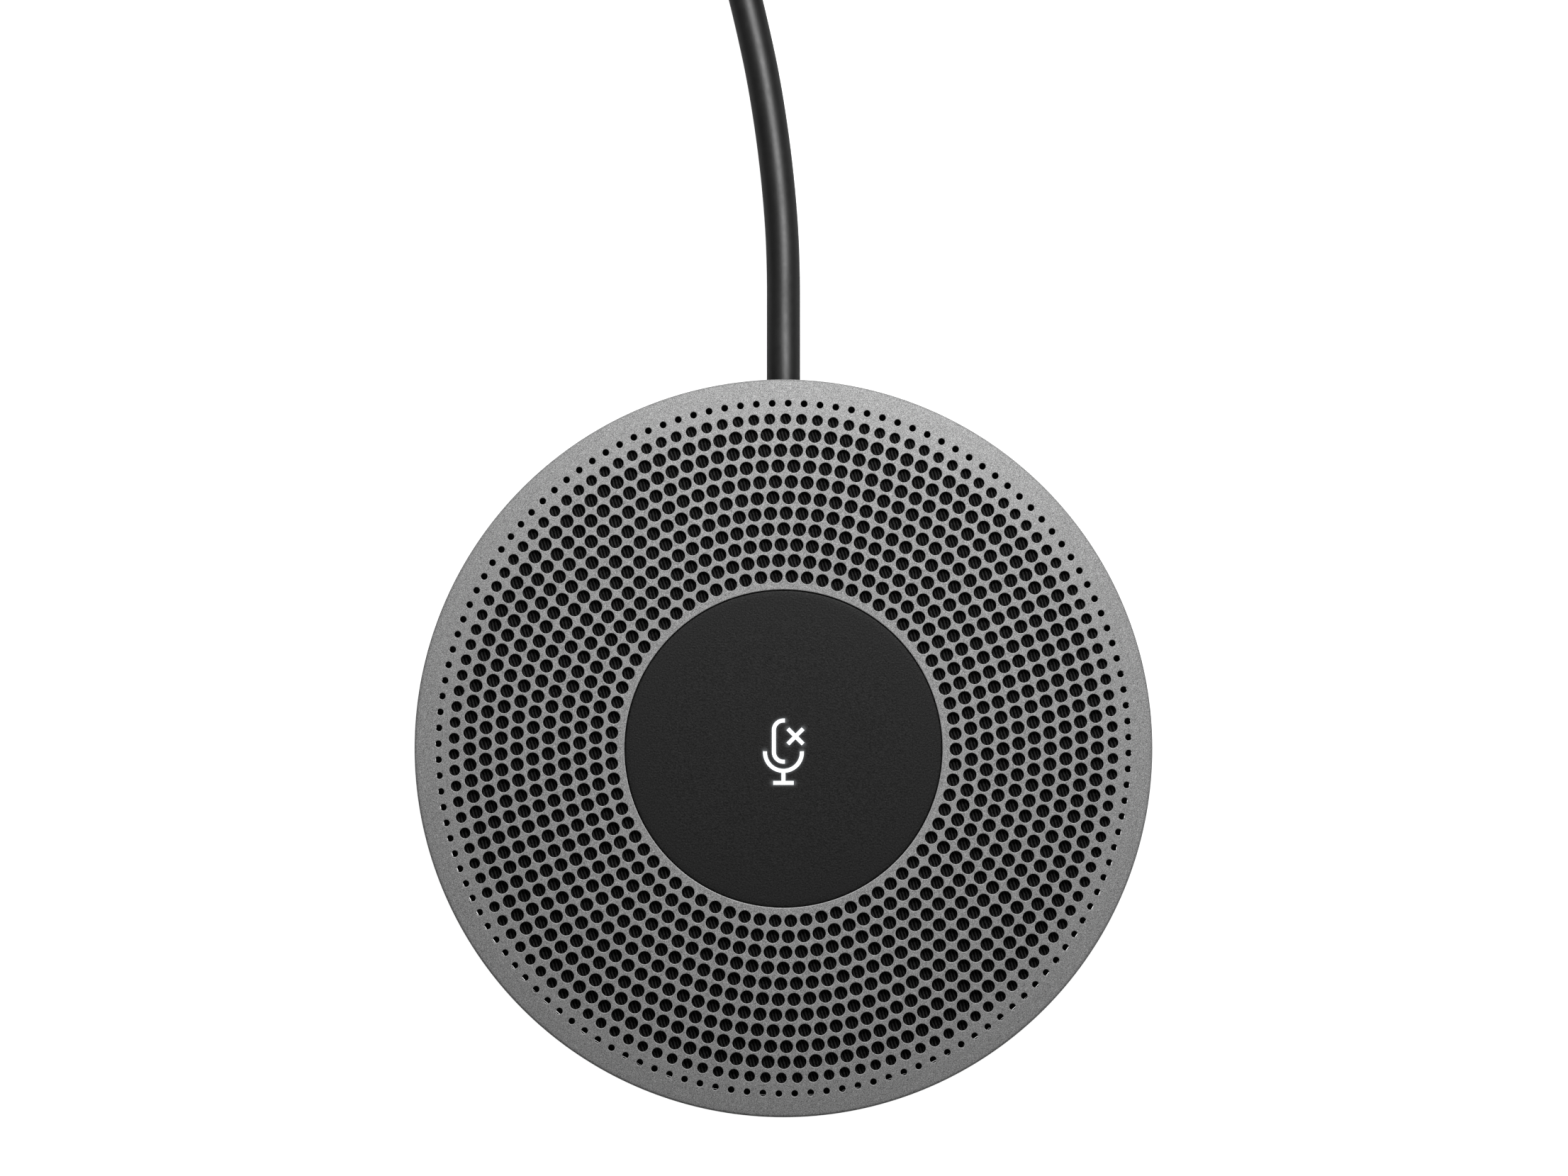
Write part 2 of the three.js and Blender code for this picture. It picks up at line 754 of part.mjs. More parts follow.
function coilTie() {
  const thickness = 0.45;
  const width = 8;
  const inside = [
    [13.9, thickness],
    [30.5, thickness],
    [30.5, 12.4],
    [24.3, 16.5],
    [18.7, 16.5],
    [13.9, 12.4],
  ];
  const outside = [
    [13.45, 0],
    [30.95, 0],
    [30.95, 12.65],
    [24.45, 16.95],
    [18.55, 16.95],
    [13.45, 12.65],
  ];
  const vectors = (points) => points.map(([r, z]) => new THREE.Vector2(r, z));
  const shape = new THREE.Shape(vectors(outside));
  shape.holes.push(new THREE.Path(vectors(inside)));
  // The loop's outline stands upright: shape x runs outwards along X, shape y along Z.
  return prism(shape, -width / 2, width / 2).rotateX(Math.PI / 2);
}

// The plug's pieces lie along +X, from the lead's end at x = 0, with their axis at z = 0.
const PLUG = {
  reliefLength: 9,
  bodyEnd: 30,
  tipEnd: 42,
  bodyWidth: 15.6,
  shellWidth: 12,
  shellHeight: 4.5,
  shellWall: 0.35,
  pocketDepth: 3,
};

// Turns a prism that was raised along Z so that it runs along X, with its width along Y.
function alongX(geometry) {
  const turn = new THREE.Matrix4().makeBasis(
    new THREE.Vector3(0, 1, 0),
    new THREE.Vector3(0, 0, 1),
    new THREE.Vector3(1, 0, 0),
  );
  return geometry.applyMatrix4(turn);
}

function plugRelief() {
  const outline = [
    [0, 0],
    [CORD_R + 0.4, 0],
    [CORD_R + 1.3, PLUG.reliefLength - GAP],
    [0, PLUG.reliefLength - GAP],
  ];
  return alongX(turned(outline, ROUND.small));
}

function plugBody() {
  const section = roundedRectangle(PLUG.bodyWidth, 2 * PLUG_HALF_HEIGHT, 2.4);
  const body = alongX(prism(section, PLUG.reliefLength, PLUG.bodyEnd, 4));
  const y = PLUG.shellWidth / 2 + GAP;
  const z = PLUG.shellHeight / 2 + GAP;
  return cut(body, box(PLUG.bodyEnd - PLUG.pocketDepth, PLUG.bodyEnd + 1, -y, y, -z, z));
}

function plugShell() {
  const start = PLUG.bodyEnd - PLUG.pocketDepth + GAP;
  const y = PLUG.shellWidth / 2;
  const z = PLUG.shellHeight / 2;
  const wall = PLUG.shellWall;
  const bore = box(start - 1, PLUG.tipEnd + 1, -y + wall, y - wall, -z + wall, z - wall);
  const windows = [-2.9, 2.9].map((at) => box(PLUG.tipEnd - 7.4, PLUG.tipEnd - 5, at - 1.2, at + 1.2, -5, 5));
  return cut(box(start, PLUG.tipEnd, -y, y, -z, z), bore, ...windows);
}

function plugTongue() {
  const start = PLUG.bodyEnd - PLUG.pocketDepth + GAP;
  const block = box(start, start + 3, -5.4, 5.4, -1.6, 1.7);
  const tongue = box(start + 2.5, PLUG.tipEnd - 0.6, -5.4, 5.4, 0.05, 1.7);
  return join(block, tongue);
}

// ---------------------------------------------------------------- finishes

const FINISHES = {
  satinMetal: { color: 0xa9a9a9, roughness: 0.42, metalness: 0.75 },
  blackPlastic: { color: 0x1c1c1d, roughness: 0.6, metalness: 0 },
  softTouch: { color: 0x2a2a2a, roughness: 0.75, metalness: 0 },
  litWhite: { color: 0xf4f6f5, roughness: 0.4, metalness: 0 },
  rubber: { color: 0x1a1a1a, roughness: 0.85, metalness: 0 },
  silicone: { color: 0x9b9b98, roughness: 0.6, metalness: 0 },
  cloth: { color: 0x121212, roughness: 0.95, metalness: 0 },
  steel: { color: 0xb4b6b8, roughness: 0.35, metalness: 1 },
  blackSteel: { color: 0x3a3a3c, roughness: 0.45, metalness: 0.9 },
  magnet: { color: 0x55565a, roughness: 0.35, metalness: 0.9 },
  copper: { color: 0xb4703a, roughness: 0.35, metalness: 1 },
  paper: { color: 0x2b2b2e, roughness: 0.9, metalness: 0 },
  foam: { color: 0x242424, roughness: 1, metalness: 0 },
  circuitBoard: { color: 0x1d4a33, roughness: 0.5, metalness: 0 },
  chipResin: { color: 0x17171a, roughness: 0.55, metalness: 0 },
  ivoryPlastic: { color: 0xe6e1d3, roughness: 0.5, metalness: 0 },
  flexFilm: { color: 0xa86a22, roughness: 0.4, metalness: 0 },
  jacket: { color: 0x202020, roughness: 0.4, metalness: 0 },
  nickel: { color: 0xcfcfd0, roughness: 0.25, metalness: 1 },
};

function piece(name, geometry, finish) {
  const mesh = new THREE.Mesh(geometry, new THREE.MeshStandardMaterial(FINISHES[finish]));
  mesh.name = name;
  return mesh;
}

function placed(mesh, x, y, z, degrees = 0) {
  mesh.position.set(x, y, z);
  mesh.rotation.z = radians(degrees);
  return mesh;
}

// ---------------------------------------------------------------- assembly

const housing = new THREE.Group();
housing.add(
  piece("base", base(), "blackPlastic"),
  piece("foot_ring", footRing(), "rubber"),
  piece("ballast_ring", ballastRing(), "steel"),
  piece("inner_chassis", innerChassis(), "blackPlastic"),
  piece("acoustic_cloth", acousticCloth(), "cloth"),
  piece("top_cover", topCover(), "satinMetal"),
);

const fixings = new THREE.Group();
BOSS_ANGLES.forEach((angle, i) => {
  const long = piece(`base_screw_${i + 1}`, screw(2.15, 1.1, 1.2, 7.6), "blackSteel");
  fixings.add(placed(long, ...onRing(BOSS_RING_R, angle), SCREW_SEAT_Z - 0.1 - 1.1));
});
POST_ANGLES.forEach((angle, i) => {
  const short = piece(`board_screw_${i + 1}`, screw(1.7, 1, 0.6, 4.8).rotateX(Math.PI), "steel");
  fixings.add(placed(short, ...onRing(POST_RING_R, angle), BOARD.top + FINE_GAP + 1));
});

const loudspeaker = new THREE.Group();
loudspeaker.add(
  piece("driver_frame", driverFrame(), "blackSteel"),
  piece("driver_yoke", driverYoke(), "steel"),
  piece("driver_magnet", cylinder(6.8, 4.1, 6, ROUND.medium), "magnet"),
  piece("driver_top_plate", cylinder(7, 6.15, 6.9, ROUND.medium), "steel"),
  piece("driver_coil", ring(7.5, 8.1, 5, 8.2, ROUND.medium), "copper"),
  piece("driver_cone", driverCone(), "paper"),
  piece("driver_surround", driverSurround(), "rubber"),
  piece("driver_gasket", ring(17.6, 19.9, 10.7, 11.2, ROUND.large), "foam"),
);

const electronics = new THREE.Group();
const onBoard = BOARD.top + FINE_GAP;
const speakerLeadRoute = [
  [0, 23.3, 10.3],
  [0, 22, 10.2],
  [0, 21, 9.4],
  [0, 20, 8.3],
  [0, 18.6, 8],
  [0, 17.6, 8],
];
const cableHeader = header(8, 4, 4.3).rotateY(Math.PI);
electronics.add(
  piece("main_board", mainBoard(), "circuitBoard"),
  placed(piece("processor_chip", chip(9, 1.2), "chipResin"), ...onRing(30, 210), onBoard, 30),
  placed(piece("codec_chip", chip(6, 1), "chipResin"), ...onRing(30, 330), onBoard, -30),
  placed(piece("amplifier_chip", chip(5, 0.9), "chipResin"), ...onRing(27.5, 30), onBoard, 30),
  placed(piece("crystal_can", box(-2.5, 2.5, -1.6, 1.6, 0, 1.2), "nickel"), ...onRing(32, 192), onBoard, 12),
  placed(piece("capacitor_1", capacitor(), "nickel"), ...onRing(32, 72), onBoard),
  placed(piece("capacitor_2", capacitor(), "nickel"), ...onRing(32, 84), onBoard),
  placed(piece("power_inductor", inductor(), "chipResin"), ...onRing(30.5, 100), onBoard, 10),
  placed(piece("cable_header", cableHeader, "ivoryPlastic"), 0, 25.6, BOARD.bottom - FINE_GAP),
  placed(piece("speaker_header", header(5, 3, 2.2), "ivoryPlastic"), 0, 25.2, onBoard),
  piece("speaker_lead", tube(speakerLeadRoute, 0.6, 8), "rubber"),
  piece("board_flex", boardFlex(), "flexFilm"),
);

const microphones = new THREE.Group();
MIC_ANGLES.forEach((angle, i) => {
  const pocket = new THREE.Group();
  pocket.rotation.z = radians(angle);
  pocket.add(
    placed(piece(`mic_boot_${i + 1}`, micBoot(), "rubber"), MIC_RING_R, 0, 0),
    placed(piece(`mic_capsule_${i + 1}`, micCapsule(), "nickel"), MIC_RING_R, 0, 0),
    placed(piece(`mic_lead_${i + 1}`, micLead(), "rubber"), MIC_RING_R, 0, 0),
  );
  microphones.add(pocket);
});

const keyAssembly = new THREE.Group();
keyAssembly.add(
  piece("mute_key", muteKey(), "softTouch"),
  piece("key_light_guide", keyLightGuide(), "litWhite"),
  piece("key_return_ring", ring(16.9, 18.2, LEDGE_TOP_Z + FINE_GAP, 18.3, ROUND.large), "silicone"),
  piece("key_board", keyBoard(), "circuitBoard"),
  piece("switch_body", switchBody(), "blackSteel"),
  piece("switch_plunger", switchPlunger(), "ivoryPlastic"),
  placed(piece("led_1", led(), "litWhite"), -8, 0, SEATED_Z),
  placed(piece("led_2", led(), "litWhite"), 8, 0, SEATED_Z),
);

const lead = new THREE.Group();
lead.add(
  piece("strain_relief", strainRelief(), "rubber"),
  piece("cable_clamp", cableClamp(), "blackPlastic"),
  piece("cable_tail", rod(CORD_R, 27.9, 35.1, 8, 0, CORD_EXIT_Z), "jacket"),
  piece("cable_run", cableRun(), "jacket"),
);
const coil = new THREE.Group();
coil.position.set(COIL.x, COIL.y, 0);
coil.add(
  piece("cable_coil", cableCoil(), "jacket"),
  piece("cable_end", cableEnd(), "jacket"),
  placed(piece("coil_tie", coilTie(), "rubber"), 0, 0, 0, 255),
);
const plug = new THREE.Group();
plug.position.set(...plugStart(), PLUG_Z);
plug.rotation.z = radians(PLUG_HEADING);
plug.add(
  piece("plug_relief", plugRelief(), "jacket"),
  piece("plug_body", plugBody(), "blackPlastic"),
  piece("plug_shell", plugShell(), "nickel"),
  piece("plug_tongue", plugTongue(), "ivoryPlastic"),
);
coil.add(plug);
lead.add(coil);

const speakerphone = new THREE.Group();
speakerphone.add(housing, fixings, loudspeaker, electronics, microphones, keyAssembly, lead);

export default speakerphone;
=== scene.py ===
"""Looks for the round conference speakerphone with its captive lead.

Lengths in the tables below are millimetres in the row frame: the origin is the middle of the round
housing on the table, +Y is the way the lead leaves, +Z is up. Meshes are made in metres.
"""

import json
import math

import bpy
import bmesh
import numpy as np
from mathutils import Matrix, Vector
from mathutils.geometry import delaunay_2d_cdt


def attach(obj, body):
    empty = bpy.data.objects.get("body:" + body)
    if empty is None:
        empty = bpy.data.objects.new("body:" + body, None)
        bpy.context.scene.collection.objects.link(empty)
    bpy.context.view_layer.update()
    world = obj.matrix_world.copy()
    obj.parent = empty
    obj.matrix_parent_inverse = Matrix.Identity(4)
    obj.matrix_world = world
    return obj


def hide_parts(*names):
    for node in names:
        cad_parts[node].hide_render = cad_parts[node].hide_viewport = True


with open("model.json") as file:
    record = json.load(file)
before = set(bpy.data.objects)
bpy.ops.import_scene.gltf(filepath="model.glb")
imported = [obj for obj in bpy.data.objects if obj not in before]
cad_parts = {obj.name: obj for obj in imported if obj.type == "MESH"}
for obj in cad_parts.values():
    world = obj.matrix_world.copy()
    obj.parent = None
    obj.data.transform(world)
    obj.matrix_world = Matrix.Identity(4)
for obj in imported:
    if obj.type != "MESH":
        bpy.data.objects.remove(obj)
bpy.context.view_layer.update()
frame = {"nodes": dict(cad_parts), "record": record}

MM = 0.001

# ---------------------------------------------------------------- camera

RIM_Z = 18.7
VIEW_DISTANCE = 980.0
CAMERA_X, CAMERA_Y = 0.06, 18.04

scene = bpy.context.scene
scene.view_settings.view_transform = "Standard"
camera_data = bpy.data.cameras.new("camera")
camera_data.lens = 200.0
camera_data.sensor_width = 36.0
camera_data.clip_end = 20.0
camera = bpy.data.objects.new("camera", camera_data)
camera.location = (CAMERA_X * MM, CAMERA_Y * MM, (RIM_Z + VIEW_DISTANCE) * MM)
scene.collection.objects.link(camera)
scene.camera = camera


# ---------------------------------------------------------------- mesh helpers


def on_ring(radius, degrees):
    a = math.radians(degrees)
    return radius * math.cos(a), radius * math.sin(a)


remade = set()


def add_piece(name, mesh, finish, replaces=(), body="housing"):
    """finish names one of MATERIALS. replaces names the CAD nodes that the piece stands for."""
    piece = bpy.data.objects.new(name, mesh)
    scene.collection.objects.link(piece)
    mesh.materials.clear()
    mesh.materials.append(MATERIALS[finish])
    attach(piece, body)
    if replaces:
        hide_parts(*replaces)
        remade.update(replaces)
    return piece


def smoothed(mesh, sharp=35.0):
    """The mesh shaded smooth, apart from edges sharper than the angle given."""
    mesh.shade_smooth()
    mesh.set_sharp_from_angle(angle=math.radians(sharp))
    return mesh


def mesh_from(name, verts, faces, sharp=35.0):
    """A smooth mesh, with verts in millimetres."""
    mesh = bpy.data.meshes.new(name)
    mesh.from_pydata([tuple(c * MM for c in v) for v in verts], [], faces)
    mesh.validate()
    return smoothed(mesh, sharp)


def drop_loose(mesh):
    """Takes away the points that no face uses."""
    bm = bmesh.new()
    bm.from_mesh(mesh)
    loose = [v for v in bm.verts if not v.link_faces]
    bmesh.ops.delete(bm, geom=loose, context="VERTS")
    bm.to_mesh(mesh)
    bm.free()


def arc(r, z, radius, start, end, steps):
    """Points (r, z) along an arc, both ends included."""
    made = []
    for i in range(steps + 1):
        a = math.radians(start + (end - start) * i / steps)
        made.append((r + radius * math.cos(a), z + radius * math.sin(a)))
    return made


def level_ring(r, z, segments):
    made = []
    for i in range(segments):
        a = 2 * math.pi * i / segments
        made.append((r * math.cos(a), r * math.sin(a), z))
    return made


def turned(outline, segments, middle=(0.0, 0.0), along_y=None):
    """A closed outline of (r, z), anticlockwise, turned about Z. Points on the axis become poles.
    along_y=(x, z) turns it about the line along Y through there instead: outline z becomes y."""
    verts, rings = [], []
    for r, z in outline:
        if r < 1e-6:
            rings.append([len(verts)])
            verts.append((0.0, 0.0, z))
            continue
        rings.append(list(range(len(verts), len(verts) + segments)))
        verts += level_ring(r, z, segments)
    faces = []
    for k in range(len(rings)):
        low, high = rings[k], rings[(k + 1) % len(rings)]
        if len(low) == 1 and len(high) == 1:
            continue
        for i in range(segments):
            j = (i + 1) % segments
            if len(low) == 1:
                faces.append((low[0], high[j], high[i]))
            elif len(high) == 1:
                faces.append((low[i], low[j], high[0]))
            else:
                faces.append((low[i], low[j], high[j], high[i]))
    if along_y is None:
        verts = [(x + middle[0], y + middle[1], z) for x, y, z in verts]
    else:
        verts = [(along_y[0] + y, z, along_y[1] + x) for x, y, z in verts]
    return verts, faces


def tube(points, radius, sides):
    """A closed round tube through points (millimetres), with flat ends."""
    pts = np.array(points, float)
    tangents = np.gradient(pts, axis=0)
    tangents /= np.linalg.norm(tangents, axis=1)[:, None]
    normal = np.cross(tangents[0], (0.0, 0.0, 1.0))
    normal /= np.linalg.norm(normal)
    verts, faces = [], []
    for p, t in zip(pts, tangents):
        normal = normal - t * normal.dot(t)
        normal /= np.linalg.norm(normal)
        across = np.cross(t, normal)
        for i in range(sides):
            a = 2 * math.pi * i / sides
            verts.append(tuple(p + radius * (math.cos(a) * normal + math.sin(a) * across)))
    for k in range(len(pts) - 1):
        for i in range(sides):
            j = (i + 1) % sides
            a, b = k * sides, (k + 1) * sides
            faces.append((a + i, a + j, b + j, b + i))
    first, last = len(verts), len(verts) + 1
    verts += [tuple(pts[0]), tuple(pts[-1])]
    end = (len(pts) - 1) * sides
    for i in range(sides):
        j = (i + 1) % sides
        faces.append((first, j, i))
        faces.append((last, end + i, end + j))
    return verts, faces


def between(p, q, start, end, t):
    """The point at t on the line that is at p at start and at q at end."""
    return (end - t) / (end - start) * p + (t - start) / (end - start) * q


def smooth_route(points, spacing):
    """Points along a centripetal Catmull-Rom curve through the route, ends included."""
    p = [np.array(q, float) for q in points]
    p = [2 * p[0] - p[1]] + p + [2 * p[-1] - p[-2]]
    made = []
    for i in range(1, len(p) - 2):
        a, b, c, d = p[i - 1 : i + 3]
        t0 = 0.0
        t1 = math.sqrt(np.linalg.norm(b - a))
        t2 = t1 + math.sqrt(np.linalg.norm(c - b))
        t3 = t2 + math.sqrt(np.linalg.norm(d - c))
        steps = max(2, int(round(np.linalg.norm(c - b) / spacing)))
        for k in range(steps):
            t = t1 + (t2 - t1) * k / steps
            ab, bc = between(a, b, t0, t1, t), between(b, c, t1, t2, t)
            cd = between(c, d, t2, t3, t)
            abc, bcd = between(ab, bc, t0, t2, t), between(bc, cd, t1, t3, t)
            made.append(tuple(between(abc, bcd, t1, t2, t)))
    made.append(tuple(p[-2]))
    return made


def loft(sections, around=False):
    """Joins loops of equal length, given as lists of points, into a skin: capped at both ends, or
    running around from the last loop to the first."""
    verts = [v for section in sections for v in section]
    n, count = len(sections[0]), len(sections)
    faces = []
    for k in range(count if around else count - 1):
        for i in range(n):
            j = (i + 1) % n
            a, b = k * n, (k + 1) % count * n
            faces.append((a + i, a + j, b + j, b + i))
    if not around:
        faces.append(tuple(reversed(range(n))))
        faces.append(tuple(range((count - 1) * n, count * n)))
    return verts, faces


def rounded_section(half_w, half_h, radius, steps=6):
    """A rounded rectangle as (u, v) points, anticlockwise."""
    made = []
    for su, sv, start in ((1, 1, 0), (-1, 1, 90), (-1, -1, 180), (1, -1, 270)):
        u, v = su * (half_w - radius), sv * (half_h - radius)
        made += arc(u, v, radius, start, start + 90, steps)
    return made


def brick(name, lo, hi, bevel, steps=3):
    """A box with rounded edges, as a mesh."""
    bm = bmesh.new()
    bmesh.ops.create_cube(bm, size=1.0)
    for v in bm.verts:
        v.co = Vector(((lo[i] + hi[i]) / 2 + v.co[i] * (hi[i] - lo[i])) * MM for i in range(3))
    if bevel:
        bmesh.ops.bevel(
            bm, geom=bm.edges[:], offset=bevel * MM, segments=steps, profile=0.5, affect="EDGES"
        )
    mesh = bpy.data.meshes.new(name)
    bm.to_mesh(mesh)
    bm.free()
    return smoothed(mesh)


def carve(mesh, cutters, operation="DIFFERENCE"):
    """The mesh with the cutter meshes taken away from it, or added to it."""
    body = bpy.data.objects.new("carved", mesh)
    scene.collection.objects.link(body)
    tools = []
    for cutter in cutters:
        tool = bpy.data.objects.new("cutter", cutter)
        scene.collection.objects.link(tool)
        modifier = body.modifiers.new("carve", "BOOLEAN")
        modifier.operation = operation
        modifier.solver = "EXACT"
        modifier.object = tool
        tools.append(tool)
    bpy.context.view_layer.update()
    depsgraph = bpy.context.evaluated_depsgraph_get()
    made = bpy.data.meshes.new_from_object(body.evaluated_get(depsgraph))
    for o in [body, *tools]:
        bpy.data.objects.remove(o)
    return smoothed(made)


# ---------------------------------------------------------------- materials


class Surface:
    """A principled material with its colour, roughness and bump from textures in the row frame."""

    def __init__(self, name, metallic=0.0, **sockets):
        self.material = bpy.data.materials.new(name)
        self.material.use_nodes = True
        self.tree = self.material.node_tree
        self.tree.nodes.clear()
        self.shader = self.node("ShaderNodeBsdfPrincipled")
        out = self.node("ShaderNodeOutputMaterial")
        self.link(self.shader.outputs["BSDF"], out.inputs["Surface"])
        self.shader.inputs["Metallic"].default_value = metallic
        for socket, value in sockets.items():
            self.shader.inputs[socket.replace("_", " ")].default_value = value
        self.place = self.node("ShaderNodeTexCoord").outputs["Object"]
        self.normal = None

    def node(self, kind):
        return self.tree.nodes.new(kind)

    def link(self, a, b):
        self.tree.links.new(a, b)

    def stretched(self, scale=(1, 1, 1), turn=(0, 0, 0)):
        mapping = self.node("ShaderNodeMapping")
        mapping.inputs["Scale"].default_value = scale
        mapping.inputs["Rotation"].default_value = [math.radians(a) for a in turn]
        self.link(self.place, mapping.inputs["Vector"])
        return mapping.outputs["Vector"]

    def noise(self, size, detail=2.0, roughness=0.5, at=None, seed=0.0):
        """Soft noise whose features are size millimetres across. seed moves it elsewhere."""
        tex = self.node("ShaderNodeTexNoise")
        tex.noise_dimensions = "4D"
        tex.inputs["W"].default_value = seed
        tex.inputs["Scale"].default_value = 1.0 / (size * MM)
        tex.inputs["Detail"].default_value = detail
        tex.inputs["Roughness"].default_value = roughness
        self.link(at or self.place, tex.inputs["Vector"])
        return tex.outputs["Fac"]

    def cells(self, size, at=None, feature="F1"):
        tex = self.node("ShaderNodeTexVoronoi")
        tex.feature = feature
        tex.inputs["Scale"].default_value = 1.0 / (size * MM)
        self.link(at or self.place, tex.inputs["Vector"])
        return tex.outputs["Distance"]

    def bands(self, size, at=None, profile="SIN", distortion=0.0):
        tex = self.node("ShaderNodeTexWave")
        tex.wave_profile = profile
        tex.inputs["Scale"].default_value = 0.314159 / (size * MM)
        tex.inputs["Distortion"].default_value = distortion
        self.link(at or self.place, tex.inputs["Vector"])
        return tex.outputs["Fac"]

    def mapped(self, value, low, high, from_low=0.0, from_high=1.0):
        ranged = self.node("ShaderNodeMapRange")
        for socket, v in zip(
            ("From Min", "From Max", "To Min", "To Max"), (from_low, from_high, low, high)
        ):
            ranged.inputs[socket].default_value = v
        self.link(value, ranged.inputs["Value"])
        return ranged.outputs["Result"]

    def maths(self, operation, a, b):
        node = self.node("ShaderNodeMath")
        node.operation = operation
        for socket, v in zip(node.inputs, (a, b)):
            if isinstance(v, (int, float)):
                socket.default_value = v
            else:
                self.link(v, socket)
        return node.outputs[0]

    def colour(self, value, stops):
        """Base colour from a value through (position, linear grey or rgb) stops."""
        ramp = self.node("ShaderNodeValToRGB")
        elements = ramp.color_ramp.elements
        while len(elements) < len(stops):
            elements.new(0.5)
        for element, (position, shade) in zip(elements, stops):
            element.position = position
            rgb = (shade,) * 3 if isinstance(shade, (int, float)) else shade
            element.color = (*rgb, 1.0)
        self.link(value, ramp.inputs["Fac"])
        self.link(ramp.outputs["Color"], self.shader.inputs["Base Color"])
        return self

    def rough(self, value, low, high, from_low=0.3, from_high=0.7):
        ranged = self.mapped(value, low, high, from_low, from_high)
        self.link(ranged, self.shader.inputs["Roughness"])
        return self

    def glows(self, colour, strength):
        """Emission of one colour, with its strength from a node."""
        self.shader.inputs["Emission Color"].default_value = (*colour, 1.0)
        self.link(strength, self.shader.inputs["Emission Strength"])
        return self

    def mixed(self, *parts):
        """The weighted sum of (value, weight) pairs."""
        total = None
        for value, weight in parts:
            part = self.maths("MULTIPLY", value, weight)
            total = part if total is None else self.maths("ADD", total, part)
        return total

    def painted(self, name):
        """The values of a mesh attribute."""
        attribute = self.node("ShaderNodeAttribute")
        attribute.attribute_name = name
        return attribute.outputs["Fac"]

    def bump(self, value, depth, strength=1.0):
        """depth in millimetres."""
        bump = self.node("ShaderNodeBump")
        bump.inputs["Distance"].default_value = depth * MM
        bump.inputs["Strength"].default_value = strength
        self.link(value, bump.inputs["Height"])
        if self.normal is not None:
            self.link(self.normal, bump.inputs["Normal"])
        self.normal = bump.outputs["Normal"]
        self.link(self.normal, self.shader.inputs["Normal"])
        return self


def shades(colour, spread):
    """Three stops around a linear colour."""
    rgb = (colour,) * 3 if isinstance(colour, (int, float)) else colour
    return [
        (0.3, tuple(c * (1 - spread) for c in rgb)),
        (0.5, tuple(rgb)),
        (0.7, tuple(min(1.0, c * (1 + spread)) for c in rgb)),
    ]


def moulded(name, colour, roughness, grain, depth, spread=0.12, metallic=0.0, **sockets):
    """Moulded, cast or plated stuff: a fine grain, with slow changes of colour and gloss."""
    s = Surface(name, metallic, **sockets)
    s.colour(s.noise(6.0, 3.0), shades(colour, spread))
    s.rough(s.noise(2.5, 3.0, seed=3.0), roughness - 0.06, roughness + 0.06)
    s.bump(s.noise(grain, 2.0, seed=7.0), depth)
    return s.material


SIGN_LIGHT = (0.93, 0.97, 1.0)


def satin_cover():
    """A grey satin coat with a fine metal speckle, and a painted highlight on the slope round each
    hole.
    """
    s = Surface("satin_cover", metallic=0.22, Specular_IOR_Level=0.4)
    fine, coarse = s.noise(0.074, 1.0, 0.6), s.noise(0.17, 1.0, 0.6, seed=5.0)
    # The slope round each hole is made brighter here. This is a painted highlight, mixed into the
    # metal speckle.
    speckle_and_highlight = s.mixed((fine, 0.88), (coarse, 0.12), (s.painted("chamfer_highlight"), 0.13))
    s.colour(speckle_and_highlight, [(0.34, 0.14), (0.44, 0.28), (0.5, 0.37), (0.56, 0.47), (0.66, 0.70)])
    s.rough(s.noise(0.3, 2.0, seed=2.0), 0.60, 0.70)
    s.bump(s.noise(0.11, 2.0, seed=9.0), 0.005)
    return s.material


def key_coat():
    """A soft black coat with a leathery grain, and a painted glow round the sign."""
    s = Surface("soft_touch_key", Specular_IOR_Level=0.25)
    s.colour(s.noise(0.15, 3.0), shades(0.0166, 0.80))
    s.rough(s.noise(0.4, 3.0, seed=2.0), 0.52, 0.66)
    leather = s.cells(0.34, feature="DISTANCE_TO_EDGE")
    s.bump(s.mapped(leather, 0.0, 1.0, 0.0, 0.25), 0.009)
    s.bump(s.noise(0.17, 2.0, seed=4.0), 0.028)
    # The glow round the sign is painted light: emission on the coat itself, which is no lamp.
    s.glows(SIGN_LIGHT, s.painted("painted_glow"))
    return s.material


def lit_sign():
    s = Surface("lit_sign")
    cloudy = s.noise(0.7, 2.0)
    s.colour(cloudy, [(0.3, (0.80, 0.84, 0.86)), (0.7, (0.92, 0.94, 0.95))])
    s.glows(SIGN_LIGHT, s.mapped(cloudy, 0.80, 1.0, 0.3, 0.7))
    s.rough(s.noise(0.3, seed=2.0), 0.35, 0.45)
    return s.material


def grille_cloth():
    """A fine black mesh cloth, pulled tight: slanted ribs with threads across them."""
    s = Surface("acoustic_cloth", Specular_IOR_Level=0.08)
    rib_turn, thread_turn = (0, 0, -17), (0, 0, 68)
    ribs = s.bands(0.36, s.stretched(turn=rib_turn), distortion=1.8)
    threads = s.bands(0.17, s.stretched(turn=thread_turn), distortion=1.2)
    fibres = s.noise(0.16, 2.0, 0.7, at=s.stretched((1.0, 0.5, 1.0), rib_turn))
    weave = s.mixed((ribs, 0.30), (threads, 0.15), (fibres, 0.55))
    s.colour(weave, [(0.38, 0.0004), (0.5, 0.0024), (0.61, 0.034)])
    s.rough(s.noise(0.5, 2.0), 0.84, 0.96)
    s.bump(weave, 0.05)
    return s.material


def cord_jacket():
    s = Surface("cord_jacket", Specular_IOR_Level=0.36)
    s.colour(s.noise(3.0, 3.0), shades(0.006, 0.18))
    s.rough(s.noise(0.8, 3.0, seed=2.0), 0.40, 0.48)
    s.bump(s.noise(0.25, 2.0, seed=4.0), 0.005)
    s.bump(s.noise(9.0, 1.0, seed=6.0), 0.05)
    return s.material


